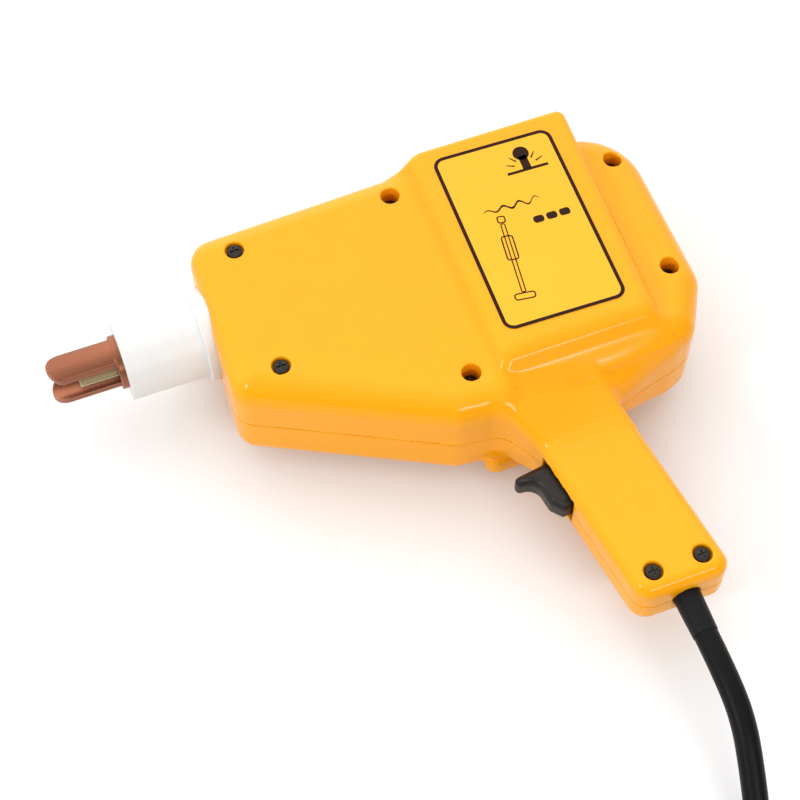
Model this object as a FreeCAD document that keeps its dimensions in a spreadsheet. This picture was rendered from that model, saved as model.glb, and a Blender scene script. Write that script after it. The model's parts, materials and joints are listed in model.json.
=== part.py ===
"""Pistol-grip spot welder for studs and dents, lying on its right side.

Frame: +X runs from the nose back along the barrel, +Y from the foot of the grip up to the
top of the body, +Z out of the left side.  The origin is on the flat face of the right
transformer pad, on which the tool rests, straight below the barrel axis.
"""
import FreeCAD, Part
import Sketcher
import math
import os
import re

Vector = FreeCAD.Vector
Rotation = FreeCAD.Rotation

NO_TURN = Rotation()
ALONG_X = Rotation(Vector(0, 1, 0), 90)
ALONG_Y = Rotation(Vector(1, 0, 0), -90)

# Driving dimensions in millimetres and degrees, one spreadsheet cell each.
SIZES = {
    # housing: two half shells that meet on the plane z = mid_z
    "mid_z": 42, "wall": 3, "body_half": 32, "grip_half": 16, "pad_half": 42,
    "body_edge": 9, "grip_edge": 6,
    "nose_round": 10, "rear_round": 34, "heel_round": 14, "foot_round": 10, "web_round": 6.5,
    "front_top_x": -163.4, "front_top_y": 38.2, "front_low_x": -168.1, "front_low_y": -55.4,
    "crest_x": -25, "crest_y": 42.7, "rear_x": 73.3, "rear_top_y": 26.5, "rear_low_y": -72,
    "heel_x": 57.5, "heel_y": -100.5, "root_rear_x": 12, "root_rear_y": -114.5,
    "root_front_x": -45, "root_front_y": -108, "belly_x": -70.5, "belly_y": -106,
    # grip and the finger web in front of it
    "grip_top_y": -92, "web_front_x": -60, "web_y": -119, "web_inner_x": -38.3,
    "foot_front_x": -23.6, "foot_rear_x": 24.7, "foot_y": -218.7, "grip_rear_x": 6.6,
    "grip_rake": 8.1,
    # raised transformer pads
    "pad_front_x": -39.5, "pad_rear_top_x": 44.5, "pad_rear_low_x": 37.5,
    "pad_top_y": 40.5, "pad_low_y": -87.5, "pad_root_half": 24,
    "pad_front_draft": 15, "pad_rear_draft": 12, "pad_low_draft": 8, "pad_corner_draft": 0.5,
    # housing screws
    "recess_dia": 10.5, "shallow_recess": 3.5, "deep_recess": 12, "post_dia": 9,
    "cup_dia": 14, "cup_sunk": 2,
    "screw_dia": 4, "screw_hole": 4.1, "head_dia": 8, "head_height": 3, "screw_seat": 6,
    "cross_long": 4.4, "cross_wide": 1, "cross_deep": 1.6,
    "nose_screw_x": -141.5, "nose_screw_top_y": 22.5, "nose_screw_low_y": -49.5,
    "waist_screw_x": -56.5, "waist_screw_top_y": 26, "waist_screw_low_y": -86,
    "rear_screw_x": 59.5, "rear_screw_top_y": 7, "rear_screw_low_y": -63.5,
    "grip_screw_front_x": -13, "grip_screw_rear_x": 12.3, "grip_screw_y": -207.2,
    # label on the left pad
    "label_x": -1.4, "label_y": -23, "label_wide": 64, "label_tall": 108.5, "label_thick": 0.4,
    "label_round": 6, "label_tilt": -1.5,
    # nose: insulating sleeve, earth fork, stud collet and sprung electrode rod
    "sleeve_front_x": -211.7, "sleeve_dia": 41.6, "collar_x": -171, "collar_dia": 47.4,
    "flange_x": -160, "flange_dia": 54, "flange_thick": 4, "sleeve_rear_x": -148,
    "fork_tip_x": -249.2, "fork_root_x": -215.2, "fork_rear_x": -126, "fork_dia": 28,
    "prong_dia": 27, "prong_wide": 15.6, "fork_mouth": 20, "mouth_rear_x": -212,
    "fork_bore": 16, "fork_turn": 90, "run_gap": 0.05,
    "collet_front_x": -235, "collet_rear_x": -190, "collet_dia": 14, "stud_dia": 3.2,
    "stud_depth": 22, "collet_slit": 0.8, "collet_slit_long": 27, "spigot_dia": 8, "spigot_long": 12,
    "rod_dia": 10, "rod_rear_x": -80, "bush_front_x": -180, "bush_flange_dia": 22, "bush_flange": 3,
    "clip_x": -122, "clip_thick": 1, "clip_dia": 14, "ring_thick": 3, "ring_dia": 18,
    "plate_x": -98, "plate_thick": 5, "plate_half_y": 30, "plate_half_z": 18,
    "spring_dia": 14, "spring_wire": 1.4, "spring_turns": 6,
    # electrode stroke and trigger stroke
    "electrode_stroke": 8, "trigger_stroke": 5,
    # heavy-current path
    "clamp_x": -142, "clamp_long": 16, "clamp_half_y": 17, "clamp_half_z": 21.5, "clamp_slit": 2,
    "bar_thick": 4, "bar_low_y": -12, "bar_wide": 19, "bar_cross": 32, "clamp_bolt_y": 11,
    "electrode_bar_x": -86, "braid_dia": 6,
    # transformer
    "core_x": -1, "core_y": -26, "core_half_x": 33, "core_half_y": 46, "core_half_z": 20,
    "leg": 11, "window_half_y": 35, "bobbin_gap": 0.3, "bobbin_wall": 1.5, "winding_thick": 7.6,
    "flange_wall": 1.5, "bobbin_low_y": -60.5, "bobbin_high_y": 8.5, "bobbin_mid_y": -13.5,
    "wrap_thick": 0.4, "core_bolt_dia": 4, "core_bolt_inset": 4.5, "strap_thick": 2,
    "bolt_head_dia": 7, "bolt_head_height": 2.8,
    "cutout_wide": 10, "cutout_tall": 15, "cutout_thick": 4, "cutout_low_y": -45,
    # trigger and switch, in the grip's own raked frame
    "trigger_x": -33.9, "trigger_y": -146, "trigger_wide": 18,
    "nose_out": 17.5, "nose_high": 14.2, "nose_low": 10, "pad_out": 8.6, "pad_high": 4.5,
    "trigger_low": -12.5, "toe_out": 6.5, "trigger_back": 4, "lip_thick": 2, "lip_over": 2.2,
    "lip_wide": 22, "slot_gap": 0.5, "switch_front": 14, "switch_deep": 20, "switch_low": -18,
    "switch_tall": 30, "switch_wide": 18, "plunger_dia": 6, "plunger_long": 14.9,
    "terminal_wide": 5, "terminal_long": 6, "terminal_thick": 0.8,
    "button_spring_dia": 9.6, "button_spring_wire": 1.2, "button_spring_turns": 2.5,
    # mains cord, strain relief, coil and plug
    "cord_dia": 12, "cord_x": 1, "relief_dia": 13.8, "relief_tip_dia": 12.8, "relief_long": 21,
    "relief_flange_dia": 19, "relief_flange": 3.5, "tail_top_y": -192, "saddle_y": -201,
    "saddle_long": 8, "saddle_wide": 24, "saddle_thick": 5,
    "saddle_screw_x": 9, "saddle_screw_dia": 3, "saddle_screw_long": 6,
    "coil_x": -90, "coil_y": -402, "coil_mean": 72, "coil_lift": 1, "tie_thick": 1, "tie_wide": 14,
    "plug_x": -134, "plug_y": -483, "plug_z": 18.5, "boot_long": 20, "boot_dia": 16, "boot_tip_dia": 13.5,
    "plug_long": 42, "plug_dia": 36, "plug_rear_dia": 24, "pin_dia": 4.8, "pin_long": 19,
    "pin_apart": 19, "pin_embed": 8, "pin_neck_dia": 4.2, "pin_neck_out": 0.5,
    # inner leads
    "lead_dia": 2.6,
}

doc = FreeCAD.newDocument("spot_welder")
sheet = doc.addObject("Spreadsheet::Sheet", "Sizes")
for number, (alias, size) in enumerate(SIZES.items(), start=1):
    sheet.set("A%d" % number, alias)
    sheet.set("B%d" % number, str(size))
    sheet.setAlias("B%d" % number, alias)
doc.recompute()

nodes = {}


def bound(text):
    """Expression text in which every sheet alias is written as Sizes.alias."""
    return re.sub(r"[a-z][a-z_]+", lambda word: "Sizes." + word.group(), str(text))


def size(text):
    """Value of an expression written with sheet aliases."""
    return float(sheet.evalExpression(bound(text)))


def point(x, y, z=0):
    """Vector whose coordinates are given as expressions."""
    return Vector(size(x), size(y), size(z))


def bind(thing, prop, text):
    """Tie one property of a document object to the sheet."""
    thing.setExpression(prop, bound(text))


def settle(thing, place, turn):
    """Turn an object and bind its base point to the sheet."""
    thing.Placement = FreeCAD.Placement(point(*place), turn)
    for axis, text in zip("xyz", place):
        bind(thing, "Placement.Base." + axis, text)
    return thing


def cylinder(name, dia, long, place, turn=NO_TURN):
    thing = doc.addObject("Part::Cylinder", name)
    bind(thing, "Radius", "( %s ) / 2" % dia)
    bind(thing, "Height", long)
    return settle(thing, place, turn)


def cone(name, first_dia, last_dia, long, place, turn=NO_TURN):
    thing = doc.addObject("Part::Cone", name)
    bind(thing, "Radius1", "( %s ) / 2" % first_dia)
    bind(thing, "Radius2", "( %s ) / 2" % last_dia)
    bind(thing, "Height", long)
    return settle(thing, place, turn)


def box(name, long, wide, high, place, turn=NO_TURN):
    thing = doc.addObject("Part::Box", name)
    bind(thing, "Length", long)
    bind(thing, "Width", wide)
    bind(thing, "Height", high)
    return settle(thing, place, turn)


def hexagon(name, across, high, place):
    thing = doc.addObject("Part::Prism", name)
    thing.Polygon = 6
    bind(thing, "Circumradius", "( %s ) / 2" % across)
    bind(thing, "Height", high)
    return settle(thing, place, NO_TURN)


def fuse(name, *parts):
    thing = doc.addObject("Part::MultiFuse", name)
    thing.Shapes = list(parts)
    return thing


def cut(name, base, *tools):
    thing = doc.addObject("Part::Cut", name)
    thing.Base = base
    thing.Tool = tools[0] if len(tools) == 1 else fuse(name + "Tools", *tools)
    return thing


def group(name, *parts):
    thing = doc.addObject("Part::Compound", name)
    thing.Links = list(parts)
    return thing


def feature(name, shape):
    thing = doc.addObject("Part::Feature", name)
    thing.Shape = shape
    return thing


def node(label, thing):
    """Name a finished sub-part; its label names its file."""
    thing.Label = label
    nodes[label] = thing
    return thing


# ---------------------------------------------------------------- outlines and blocks

def miter(corners, number):
    """Unit shift of one corner when every side moves inwards by one."""
    here = point(*corners[number][:2])
    before = point(*corners[number - 1][:2])
    after = point(*corners[(number + 1) % len(corners)][:2])
    along_in = (here - before).normalize()
    along_out = (after - here).normalize()
    normal_in = Vector(along_in.y, -along_in.x, 0)
    normal_out = Vector(along_out.y, -along_out.x, 0)
    return (normal_in + normal_out) / (1 + normal_in.dot(normal_out))


def outline(body, name, corners, level, inset):
    """Closed polygon on the body's XY plane, corners given clockwise, every corner bound."""
    sketch = body.newObject("Sketcher::SketchObject", name)
    planes = [item for item in body.Origin.OriginFeatures if item.Role == "XY_Plane"]
    sketch.AttachmentSupport = [(planes[0], "")]
    sketch.MapMode = "FlatFace"
    bind(sketch, "AttachmentOffset.Base.z", level)
    shifts = [miter(corners, number) for number in range(len(corners))]
    texts = []
    for (x, y, _), shift in zip(corners, shifts):
        texts.append(("( %s ) + ( %.5f ) * ( %s )" % (x, shift.x, inset),
                      "( %s ) + ( %.5f ) * ( %s )" % (y, shift.y, inset)))
    spots = [point(x, y) for x, y in texts]
    for number, spot in enumerate(spots):
        sketch.addGeometry(Part.LineSegment(spot, spots[(number + 1) % len(spots)]))
    for number, (x, y) in enumerate(texts):
        before = (number - 1) % len(texts)
        sketch.addConstraint(Sketcher.Constraint("Coincident", before, 2, number, 1))
        across = sketch.addConstraint(Sketcher.Constraint("DistanceX", number, 1, spots[number].x))
        sketch.setExpression("Constraints[%d]" % across, bound(x))
        upward = sketch.addConstraint(Sketcher.Constraint("DistanceY", number, 1, spots[number].y))
        sketch.setExpression("Constraints[%d]" % upward, bound(y))
    return sketch, spots


def edges_at(shape, test):
    return ["Edge%d" % number for number, edge in enumerate(shape.Edges, start=1) if test(edge)]


def upright_at(spot):
    """Test for the upright edge that stands on one corner."""
    def test(edge):
        ends = [vertex.Point for vertex in edge.Vertexes]
        return len(ends) == 2 and all(math.hypot(end.x - spot.x, end.y - spot.y) < 0.01 for end in ends)
    return test


def level_at(height):
    """Test for edges that lie wholly on one level."""
    def test(edge):
        return abs(edge.BoundBox.ZMin - height) < 0.01 and abs(edge.BoundBox.ZMax - height) < 0.01
    return test


def rounded(body, name, before, edges, radius):
    thing = body.newObject("PartDesign::Fillet", name)
    thing.Base = (before, edges)
    bind(thing, "Radius", radius)
    doc.recompute()
    return thing


def block(name, corners, half, edge, inset="0"):
    """Upright block on the parting plane: outline, upright rounds, then the rounded top edge."""
    body = doc.addObject("PartDesign::Body", name)
    sketch, spots = outline(body, name + "Outline", corners, "mid_z", inset)
    pad = body.newObject("PartDesign::Pad", name + "Pad")
    pad.Profile = sketch
    bind(pad, "Length", "%s - ( %s )" % (half, inset))
    doc.recompute()
    last = pad
    for number, (corner, spot) in enumerate(zip(corners, spots)):
        if corner[2]:
            edges = edges_at(last.Shape, upright_at(spot))
            radius = "%s - ( %s )" % (corner[2], inset)
            last = rounded(body, "%sRound%d" % (name, number), last, edges, radius)
    top = size("mid_z + %s - ( %s )" % (half, inset))
    rounded(body, name + "Edge", last, edges_at(last.Shape, level_at(top)), "%s - ( %s )" % (edge, inset))
    return body


BODY_CORNERS = [
    ("front_top_x", "front_top_y", "nose_round"), ("crest_x", "crest_y", None),
    ("rear_x", "rear_top_y", "rear_round"), ("rear_x", "rear_low_y", "heel_round"),
    ("heel_x", "heel_y", "nose_round"), ("root_rear_x", "root_rear_y", None),
    ("root_front_x", "root_front_y", None), ("belly_x", "belly_y", "heel_round"),
    ("front_low_x", "front_low_y", "nose_round"),
]
GRIP_CORNERS = [
    ("web_front_x", "grip_top_y", None), ("grip_rear_x", "grip_top_y", None),
    ("foot_rear_x", "foot_y", "foot_round"), ("foot_front_x", "foot_y", "foot_round"),
    ("web_inner_x", "web_y", None), ("web_front_x", "web_y", "web_round"),
]
PAD_CORNERS = [
    ("pad_front_x", "pad_top_y", None), ("pad_rear_top_x", "pad_top_y", None),
    ("pad_rear_low_x", "pad_low_y", None), ("pad_front_x", "pad_low_y", None),
]
PAD_DRAFTS = [
    ("- pad_front_draft", "0"), ("pad_corner_draft", "0"),
    ("pad_rear_draft", "- pad_low_draft"), ("- pad_front_draft", "- pad_low_draft"),
]


def pad_block(name, inset="0"):
    """Raised pad over the transformer: a loft from its drafted root up to its flat face."""
    body = doc.addObject("PartDesign::Body", name)
    root_corners = []
    for (x, y, _), (draft_x, draft_y) in zip(PAD_CORNERS, PAD_DRAFTS):
        root_corners.append((x + " + " + draft_x, y + " + " + draft_y, None))
    root, _ = outline(body, name + "Root", root_corners, "mid_z + pad_root_half - ( %s )" % inset, inset)
    face, _ = outline(body, name + "Face", PAD_CORNERS, "mid_z + pad_half - ( %s )" % inset, inset)
    loft = body.newObject("PartDesign::AdditiveLoft", name + "Loft")
    loft.Profile = root
    loft.Sections = [face]
    loft.Ruled = True
    return body


def pad_well(name, inset):
    """Straight-sided column under a pad, from the parting plane to the pad's root."""
    corners = [(x, y, None) for x, y, _ in PAD_CORNERS]
    body = doc.addObject("PartDesign::Body", name)
    sketch, _ = outline(body, name + "Outline", corners, "mid_z", inset)
    pad = body.newObject("PartDesign::Pad", name + "Pad")
    pad.Profile = sketch
    bind(pad, "Length", "pad_root_half + 2")
    return body


def tube(name, dia, route, bend=None):
    """Round cord along straight runs joined by tangent arcs, as large as the runs allow."""
    edges = []
    radii = []
    start = route[0]
    for before, corner, after in zip(route, route[1:], route[2:]):
        back = before - corner
        ahead = after - corner
        half_turn = (math.pi - back.getAngle(ahead)) / 2
        radius = bend or 0.45 * min(back.Length, ahead.Length) / math.tan(half_turn)
        reach = radius * math.tan(half_turn)
        arc_start = corner + back.normalize() * reach
        arc_end = corner + ahead.normalize() * reach
        inward = (back + ahead).normalize()
        arc_middle = corner + inward * (radius / math.cos(half_turn) - radius)
        edges.append(Part.LineSegment(start, arc_start).toShape())
        edges.append(Part.Arc(arc_start, arc_middle, arc_end).toShape())
        radii.append(radius)
        start = arc_end
    edges.append(Part.LineSegment(start, route[-1]).toShape())
    path = Part.Wire(edges)
    section = Part.Wire(Part.Circle(route[0], route[1] - route[0], size(dia) / 2).toShape())
    shape = path.makePipeShell([section], True, False)
    expected = math.pi * (size(dia) / 2) ** 2 * path.Length
    if abs(shape.Volume - expected) > 0.01 * expected:
        raise ValueError("%s: volume %.0f, expected %.0f" % (name, shape.Volume, expected))
    print("%s: %.0f mm long, radii %s" % (name, path.Length, " ".join("%.0f" % radius for radius in radii)))
    return feature(name, shape)


SPRING_CLEARANCE = 0.4
LEAD_BEND = 6


def coil_spring(name, dia, wire, turns, long, place, turn):
    """Round-wire compression spring, clear of the faces at both its ends."""
    mean = (size(dia) - size(wire)) / 2
    free = size(long) - size(wire) - 2 * SPRING_CLEARANCE
    helix = Part.makeHelix(free / size(turns), free, mean)
    ring = Part.Wire(Part.Circle(Vector(mean, 0, 0), Vector(0, 1, 0), size(wire) / 2).toShape())
    thing = feature(name, Part.Wire(helix).makePipeShell([ring], True, True))
    lift = turn.multVec(Vector(0, 0, size(wire) / 2 + SPRING_CLEARANCE))
    thing.Placement = FreeCAD.Placement(point(*place) + lift, turn)
    return thing


# ---------------------------------------------------------------- housing

SHALLOW_SCREWS = [("nose_screw_x", "nose_screw_top_y"), ("nose_screw_x", "nose_screw_low_y")]
DEEP_SCREWS = [
    ("waist_screw_x", "waist_screw_top_y"), ("waist_screw_x", "waist_screw_low_y"),
    ("rear_screw_x", "rear_screw_top_y"), ("rear_screw_x", "rear_screw_low_y"),
]
GRIP_SCREWS = [("grip_screw_front_x", "grip_screw_y"), ("grip_screw_rear_x", "grip_screw_y")]
SCREW_GROUPS = [
    ("nose_screws", SHALLOW_SCREWS, "body_half", "shallow_recess"),
    ("body_screws", DEEP_SCREWS, "body_half", "deep_recess"),
    ("grip_screws", GRIP_SCREWS, "grip_half", "shallow_recess"),
]


def half_shell():
    """Left half of the housing before its openings: outer blocks less the hollow inside them."""
    outer = fuse("OuterHalf", block("BodyOuter", BODY_CORNERS, "body_half", "body_edge"),
                 block("GripOuter", GRIP_CORNERS, "grip_half", "grip_edge"),
                 pad_well("PadColumn", "0"), pad_block("PadOuter"))
    hollow = fuse("HollowHalf", block("BodyHollow", BODY_CORNERS, "body_half", "body_edge", "wall"),
                  block("GripHollow", GRIP_CORNERS, "grip_half", "grip_edge", "wall"),
                  pad_well("PadWell", "wall"), pad_block("PadHollow", "wall"))
    return cut("ShellHalf", outer, hollow)


def screw_posts(side):
    """Posts from the housing wall to the parting plane, one round each screw."""
    posts = []
    for name, spots, half, _ in SCREW_GROUPS:
        for number, (x, y) in enumerate(spots, start=1):
            low = "mid_z" if side == "left" else "mid_z - %s + 1" % half
            post = "%s_%s_post_%d" % (side, name, number)
            posts.append(cylinder(post, "post_dia", half + " - 1", (x, y, low)))
    return posts


def recess_cups():
    """Cups under the housing wall that hold the counterbores and join them to their posts."""
    cups = []
    for name, spots, half, recess in SCREW_GROUPS:
        for number, (x, y) in enumerate(spots, start=1):
            cups.append(cylinder("%s_cup_%d" % (name, number), "cup_dia", "%s + wall - cup_sunk" % recess,
                                 (x, y, "mid_z + %s - %s - wall" % (half, recess))))
    return cups


def core_rests(side):
    """Pegs that hold the transformer core's straps between the two pads."""
    pegs = []
    yokes = ("core_y - core_half_y + leg / 2", "core_y + core_half_y - leg / 2")
    for number, y in enumerate(yokes, start=1):
        low = "mid_z + core_half_z" if side == "left" else "mid_z - pad_half + 1"
        pegs.append(cylinder("%s_core_rest_%d" % (side, number), "post_dia",
                             "pad_half - core_half_z - 1", ("core_x", y, low)))
    return pegs


def plate_rests(side):
    """Blocks that grip the spring plate at its two ends."""
    blocks = []
    for number, y in enumerate(("-plate_half_y", "plate_half_y - 6"), start=1):
        low = "mid_z + plate_half_z" if side == "left" else "mid_z - body_half + 1"
        blocks.append(box("%s_plate_rest_%d" % (side, number), "plate_thick", "6",
                          "body_half - plate_half_z - 1", ("plate_x", y, low)))
    return blocks


def shell_openings(side):
    """Nose hole, trigger slot and cord hole, through both halves."""
    nose = cylinder(side + "_nose_hole", "collar_dia + 0.1", "14", ("-172", "0", "mid_z"), ALONG_X)
    cord = cylinder(side + "_cord_hole", "relief_dia + 0.1", "8", ("cord_x", "foot_y - 2", "mid_z"),
                    ALONG_Y)
    rake = Rotation(Vector(0, 0, 1), size("grip_rake"))
    slot = box(side + "_trigger_slot", "12", "nose_high - trigger_low + 2 * slot_gap",
               "trigger_wide + 2 * slot_gap", ("0", "0", "mid_z - trigger_wide / 2 - slot_gap"), rake)
    corner = rake.multVec(point("-8.5", "trigger_low - slot_gap"))
    bind(slot, "Placement.Base.x", "trigger_x + ( %.4f )" % corner.x)
    bind(slot, "Placement.Base.y", "trigger_y + ( %.4f )" % corner.y)
    return [nose, cord, slot]


def left_shell(half):
    holes = shell_openings("left")
    for name, spots, height, recess in SCREW_GROUPS:
        for number, (x, y) in enumerate(spots, start=1):
            holes.append(cylinder("%s_recess_%d" % (name, number), "recess_dia", recess + " + 1",
                                  (x, y, "mid_z + %s - %s" % (height, recess))))
            holes.append(cylinder("%s_hole_%d" % (name, number), "screw_hole", height, (x, y, "mid_z")))
    solid = fuse("LeftSolid", half, *screw_posts("left"), *recess_cups(), *core_rests("left"),
                 *plate_rests("left"))
    return node("left_shell", cut("LeftShell", solid, *holes))


def right_shell(half):
    mirror = doc.addObject("Part::Mirroring", "RightHalf")
    mirror.Source = half
    mirror.Normal = Vector(0, 0, 1)
    bind(mirror, "Base.z", "mid_z")
    holes = shell_openings("right")
    for name, spots, height, _ in SCREW_GROUPS:
        for number, (x, y) in enumerate(spots, start=1):
            holes.append(cylinder("%s_pilot_%d" % (name, number), "screw_hole", height + " - screw_seat",
                                  (x, y, "mid_z - %s + screw_seat" % height)))
    solid = fuse("RightSolid", mirror, *screw_posts("right"), *core_rests("right"), *plate_rests("right"))
    return node("right_shell", cut("RightShell", solid, *holes))


def housing_screws():
    """Pan-head screws that go through the left half into the right one."""
    for name, spots, height, recess in SCREW_GROUPS:
        screws = []
        for number, (x, y) in enumerate(spots, start=1):
            seat = "mid_z + %s - %s" % (height, recess)
            head = cylinder("%s_head_%d" % (name, number), "head_dia", "head_height", (x, y, seat))
            long = "2 * %s - %s - screw_seat - 1" % (height, recess)
            shank = cylinder("%s_shank_%d" % (name, number), "screw_dia", long,
                             (x, y, seat + " - ( %s )" % long))
            blank = fuse("%s_blank_%d" % (name, number), head, shank)
            cross = [box("%s_cross_%d%s" % (name, number, way), across, upward, "cross_deep + 0.4",
                         (x + " - %s / 2" % across, y + " - %s / 2" % upward,
                          seat + " + head_height - cross_deep"))
                     for way, across, upward in (("a", "cross_long", "cross_wide"),
                                                 ("b", "cross_wide", "cross_long"))]
            screws.append(cut("%s_%d" % (name, number), blank, *cross))
        node(name, group(name + "_set", *screws))


def label():
    """Thin label plate with round corners on the left pad's face."""
    half_long = "label_wide / 2 - label_round"
    half_tall = "label_tall / 2 - label_round"
    bars = [box("label_bar_x", "label_wide", "label_tall - 2 * label_round", "label_thick",
                ("- label_wide / 2", "- ( %s )" % half_tall, "0")),
            box("label_bar_y", "label_wide - 2 * label_round", "label_tall", "label_thick",
                ("- ( %s )" % half_long, "- label_tall / 2", "0"))]
    for number, (side_x, side_y) in enumerate(((1, 1), (1, -1), (-1, 1), (-1, -1)), start=1):
        bars.append(cylinder("label_corner_%d" % number, "2 * label_round", "label_thick",
                             ("%d * ( %s )" % (side_x, half_long),
                              "%d * ( %s )" % (side_y, half_tall), "0")))
    plate = fuse("LabelPlate", *bars)
    settle(plate, ("label_x", "label_y", "mid_z + pad_half"), Rotation(Vector(0, 0, 1), size("label_tilt")))
    node("label", plate)


# ---------------------------------------------------------------- nose and electrode

def nose_insulator():
    solid = fuse("InsulatorSolid",
                 cylinder("sleeve_front", "sleeve_dia", "sleeve_rear_x - sleeve_front_x",
                          ("sleeve_front_x", "0", "mid_z"), ALONG_X),
                 cylinder("sleeve_collar", "collar_dia", "flange_x - collar_x",
                          ("collar_x", "0", "mid_z"), ALONG_X),
                 cylinder("sleeve_neck", "collar_dia", "1", ("flange_x", "0", "mid_z"), ALONG_X),
                 cylinder("sleeve_flange", "flange_dia", "flange_thick",
                          ("flange_x + 1", "0", "mid_z"), ALONG_X))
    bore = cylinder("sleeve_bore", "fork_dia + 2 * run_gap", "70",
                    ("sleeve_front_x - 1", "0", "mid_z"), ALONG_X)
    node("nose_insulator", cut("NoseInsulator", solid, bore))


def ground_fork():
    """Copper tube that ends in two strips with round tips, one above the collet and one below."""
    tube_part = cylinder("fork_tube", "fork_dia", "fork_rear_x - fork_root_x",
                         ("fork_root_x", "0", "0"), ALONG_X)
    prongs = cylinder("fork_prongs", "prong_dia", "fork_root_x - fork_tip_x",
                      ("fork_tip_x", "0", "0"), ALONG_X)
    tongue = fuse("ForkTongue",
                  box("tongue_flat", "fork_root_x - fork_tip_x", "2 * prong_dia", "prong_wide",
                      ("fork_tip_x + prong_wide / 2", "- prong_dia", "- prong_wide / 2")),
                  cylinder("tongue_tip", "prong_wide", "2 * prong_dia",
                           ("fork_tip_x + prong_wide / 2", "- prong_dia", "0"), ALONG_Y))
    shaped = doc.addObject("Part::MultiCommon", "ForkProngs")
    shaped.Shapes = [prongs, tongue]
    bore = cylinder("fork_bore_tool", "fork_bore", "140", ("fork_tip_x - 1", "0", "0"), ALONG_X)
    mouth = cylinder("fork_mouth_tool", "fork_mouth", "mouth_rear_x - fork_tip_x + 1",
                     ("fork_tip_x - 1", "0", "0"), ALONG_X)
    fork = cut("GroundFork", fuse("ForkSolid", tube_part, shaped), bore, mouth)
    settle(fork, ("0", "0", "mid_z"), Rotation(Vector(1, 0, 0), size("fork_turn")))
    node("ground_fork", fork)


def guide_bush():
    solid = fuse("BushSolid",
                 cylinder("bush_barrel", "fork_bore - 2 * run_gap", "fork_rear_x - bush_front_x",
                          ("bush_front_x", "0", "mid_z"), ALONG_X),
                 cylinder("bush_rim", "bush_flange_dia", "bush_flange",
                          ("fork_rear_x", "0", "mid_z"), ALONG_X))
    bore = cylinder("bush_bore", "rod_dia + 2 * run_gap", "80", ("bush_front_x - 1", "0", "mid_z"), ALONG_X)
    node("guide_bush", cut("GuideBush", solid, bore))


def electrode():
    """Split stud collet screwed on the sliding rod, with the rod's spring ring and clip."""
    blank = cylinder("collet_blank", "collet_dia", "collet_rear_x - collet_front_x",
                     ("collet_front_x", "0", "0"), ALONG_X)
    stud = cylinder("stud_bore", "stud_dia", "stud_depth + 1", ("collet_front_x - 1", "0", "0"), ALONG_X)
    back = cylinder("spigot_bore", "spigot_dia + 2 * run_gap", "spigot_long + 1",
                    ("collet_rear_x - spigot_long", "0", "0"), ALONG_X)
    slit = box("collet_slit_tool", "collet_slit_long + 1", "collet_slit", "2 * collet_dia",
               ("collet_front_x - 1", "- collet_slit / 2", "- collet_dia"))
    collet = cut("StudCollet", blank, stud, back, slit)
    settle(collet, ("0", "0", "mid_z"), Rotation(Vector(1, 0, 0), size("fork_turn")))
    node("stud_collet", collet)
    node("electrode_rod", fuse("ElectrodeRod",
                               cylinder("rod_spigot", "spigot_dia", "spigot_long",
                                        ("collet_rear_x - spigot_long + 0.2", "0", "mid_z"), ALONG_X),
                               cylinder("rod_shank", "rod_dia", "rod_rear_x - collet_rear_x",
                                        ("collet_rear_x", "0", "mid_z"), ALONG_X)))
    clip = cylinder("clip_disc", "clip_dia", "clip_thick", ("clip_x", "0", "mid_z"), ALONG_X)
    ring = cylinder("ring_disc", "ring_dia", "ring_thick", ("clip_x + clip_thick", "0", "mid_z"), ALONG_X)
    for label_text, disc in (("spring_clip", clip), ("spring_ring", ring)):
        hole = cylinder(label_text + "_hole", "rod_dia + 2 * run_gap", "10",
                        ("clip_x - 2", "0", "mid_z"), ALONG_X)
        node(label_text, cut(label_text + "_part", disc, hole))
    node("electrode_spring", coil_spring("ElectrodeSpring", "spring_dia", "spring_wire", "spring_turns",
                                         "plate_x - clip_x - clip_thick - ring_thick",
                                         ("clip_x + clip_thick + ring_thick", "0", "mid_z"), ALONG_X))


def spring_plate():
    slab = box("plate_slab", "plate_thick", "2 * plate_half_y", "2 * plate_half_z",
               ("plate_x", "- plate_half_y", "mid_z - plate_half_z"))
    hole = cylinder("plate_hole", "rod_dia + 2 * run_gap", "20", ("plate_x - 5", "0", "mid_z"), ALONG_X)
    node("spring_plate", cut("SpringPlate", slab, hole))


# ---------------------------------------------------------------- heavy-current path

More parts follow.
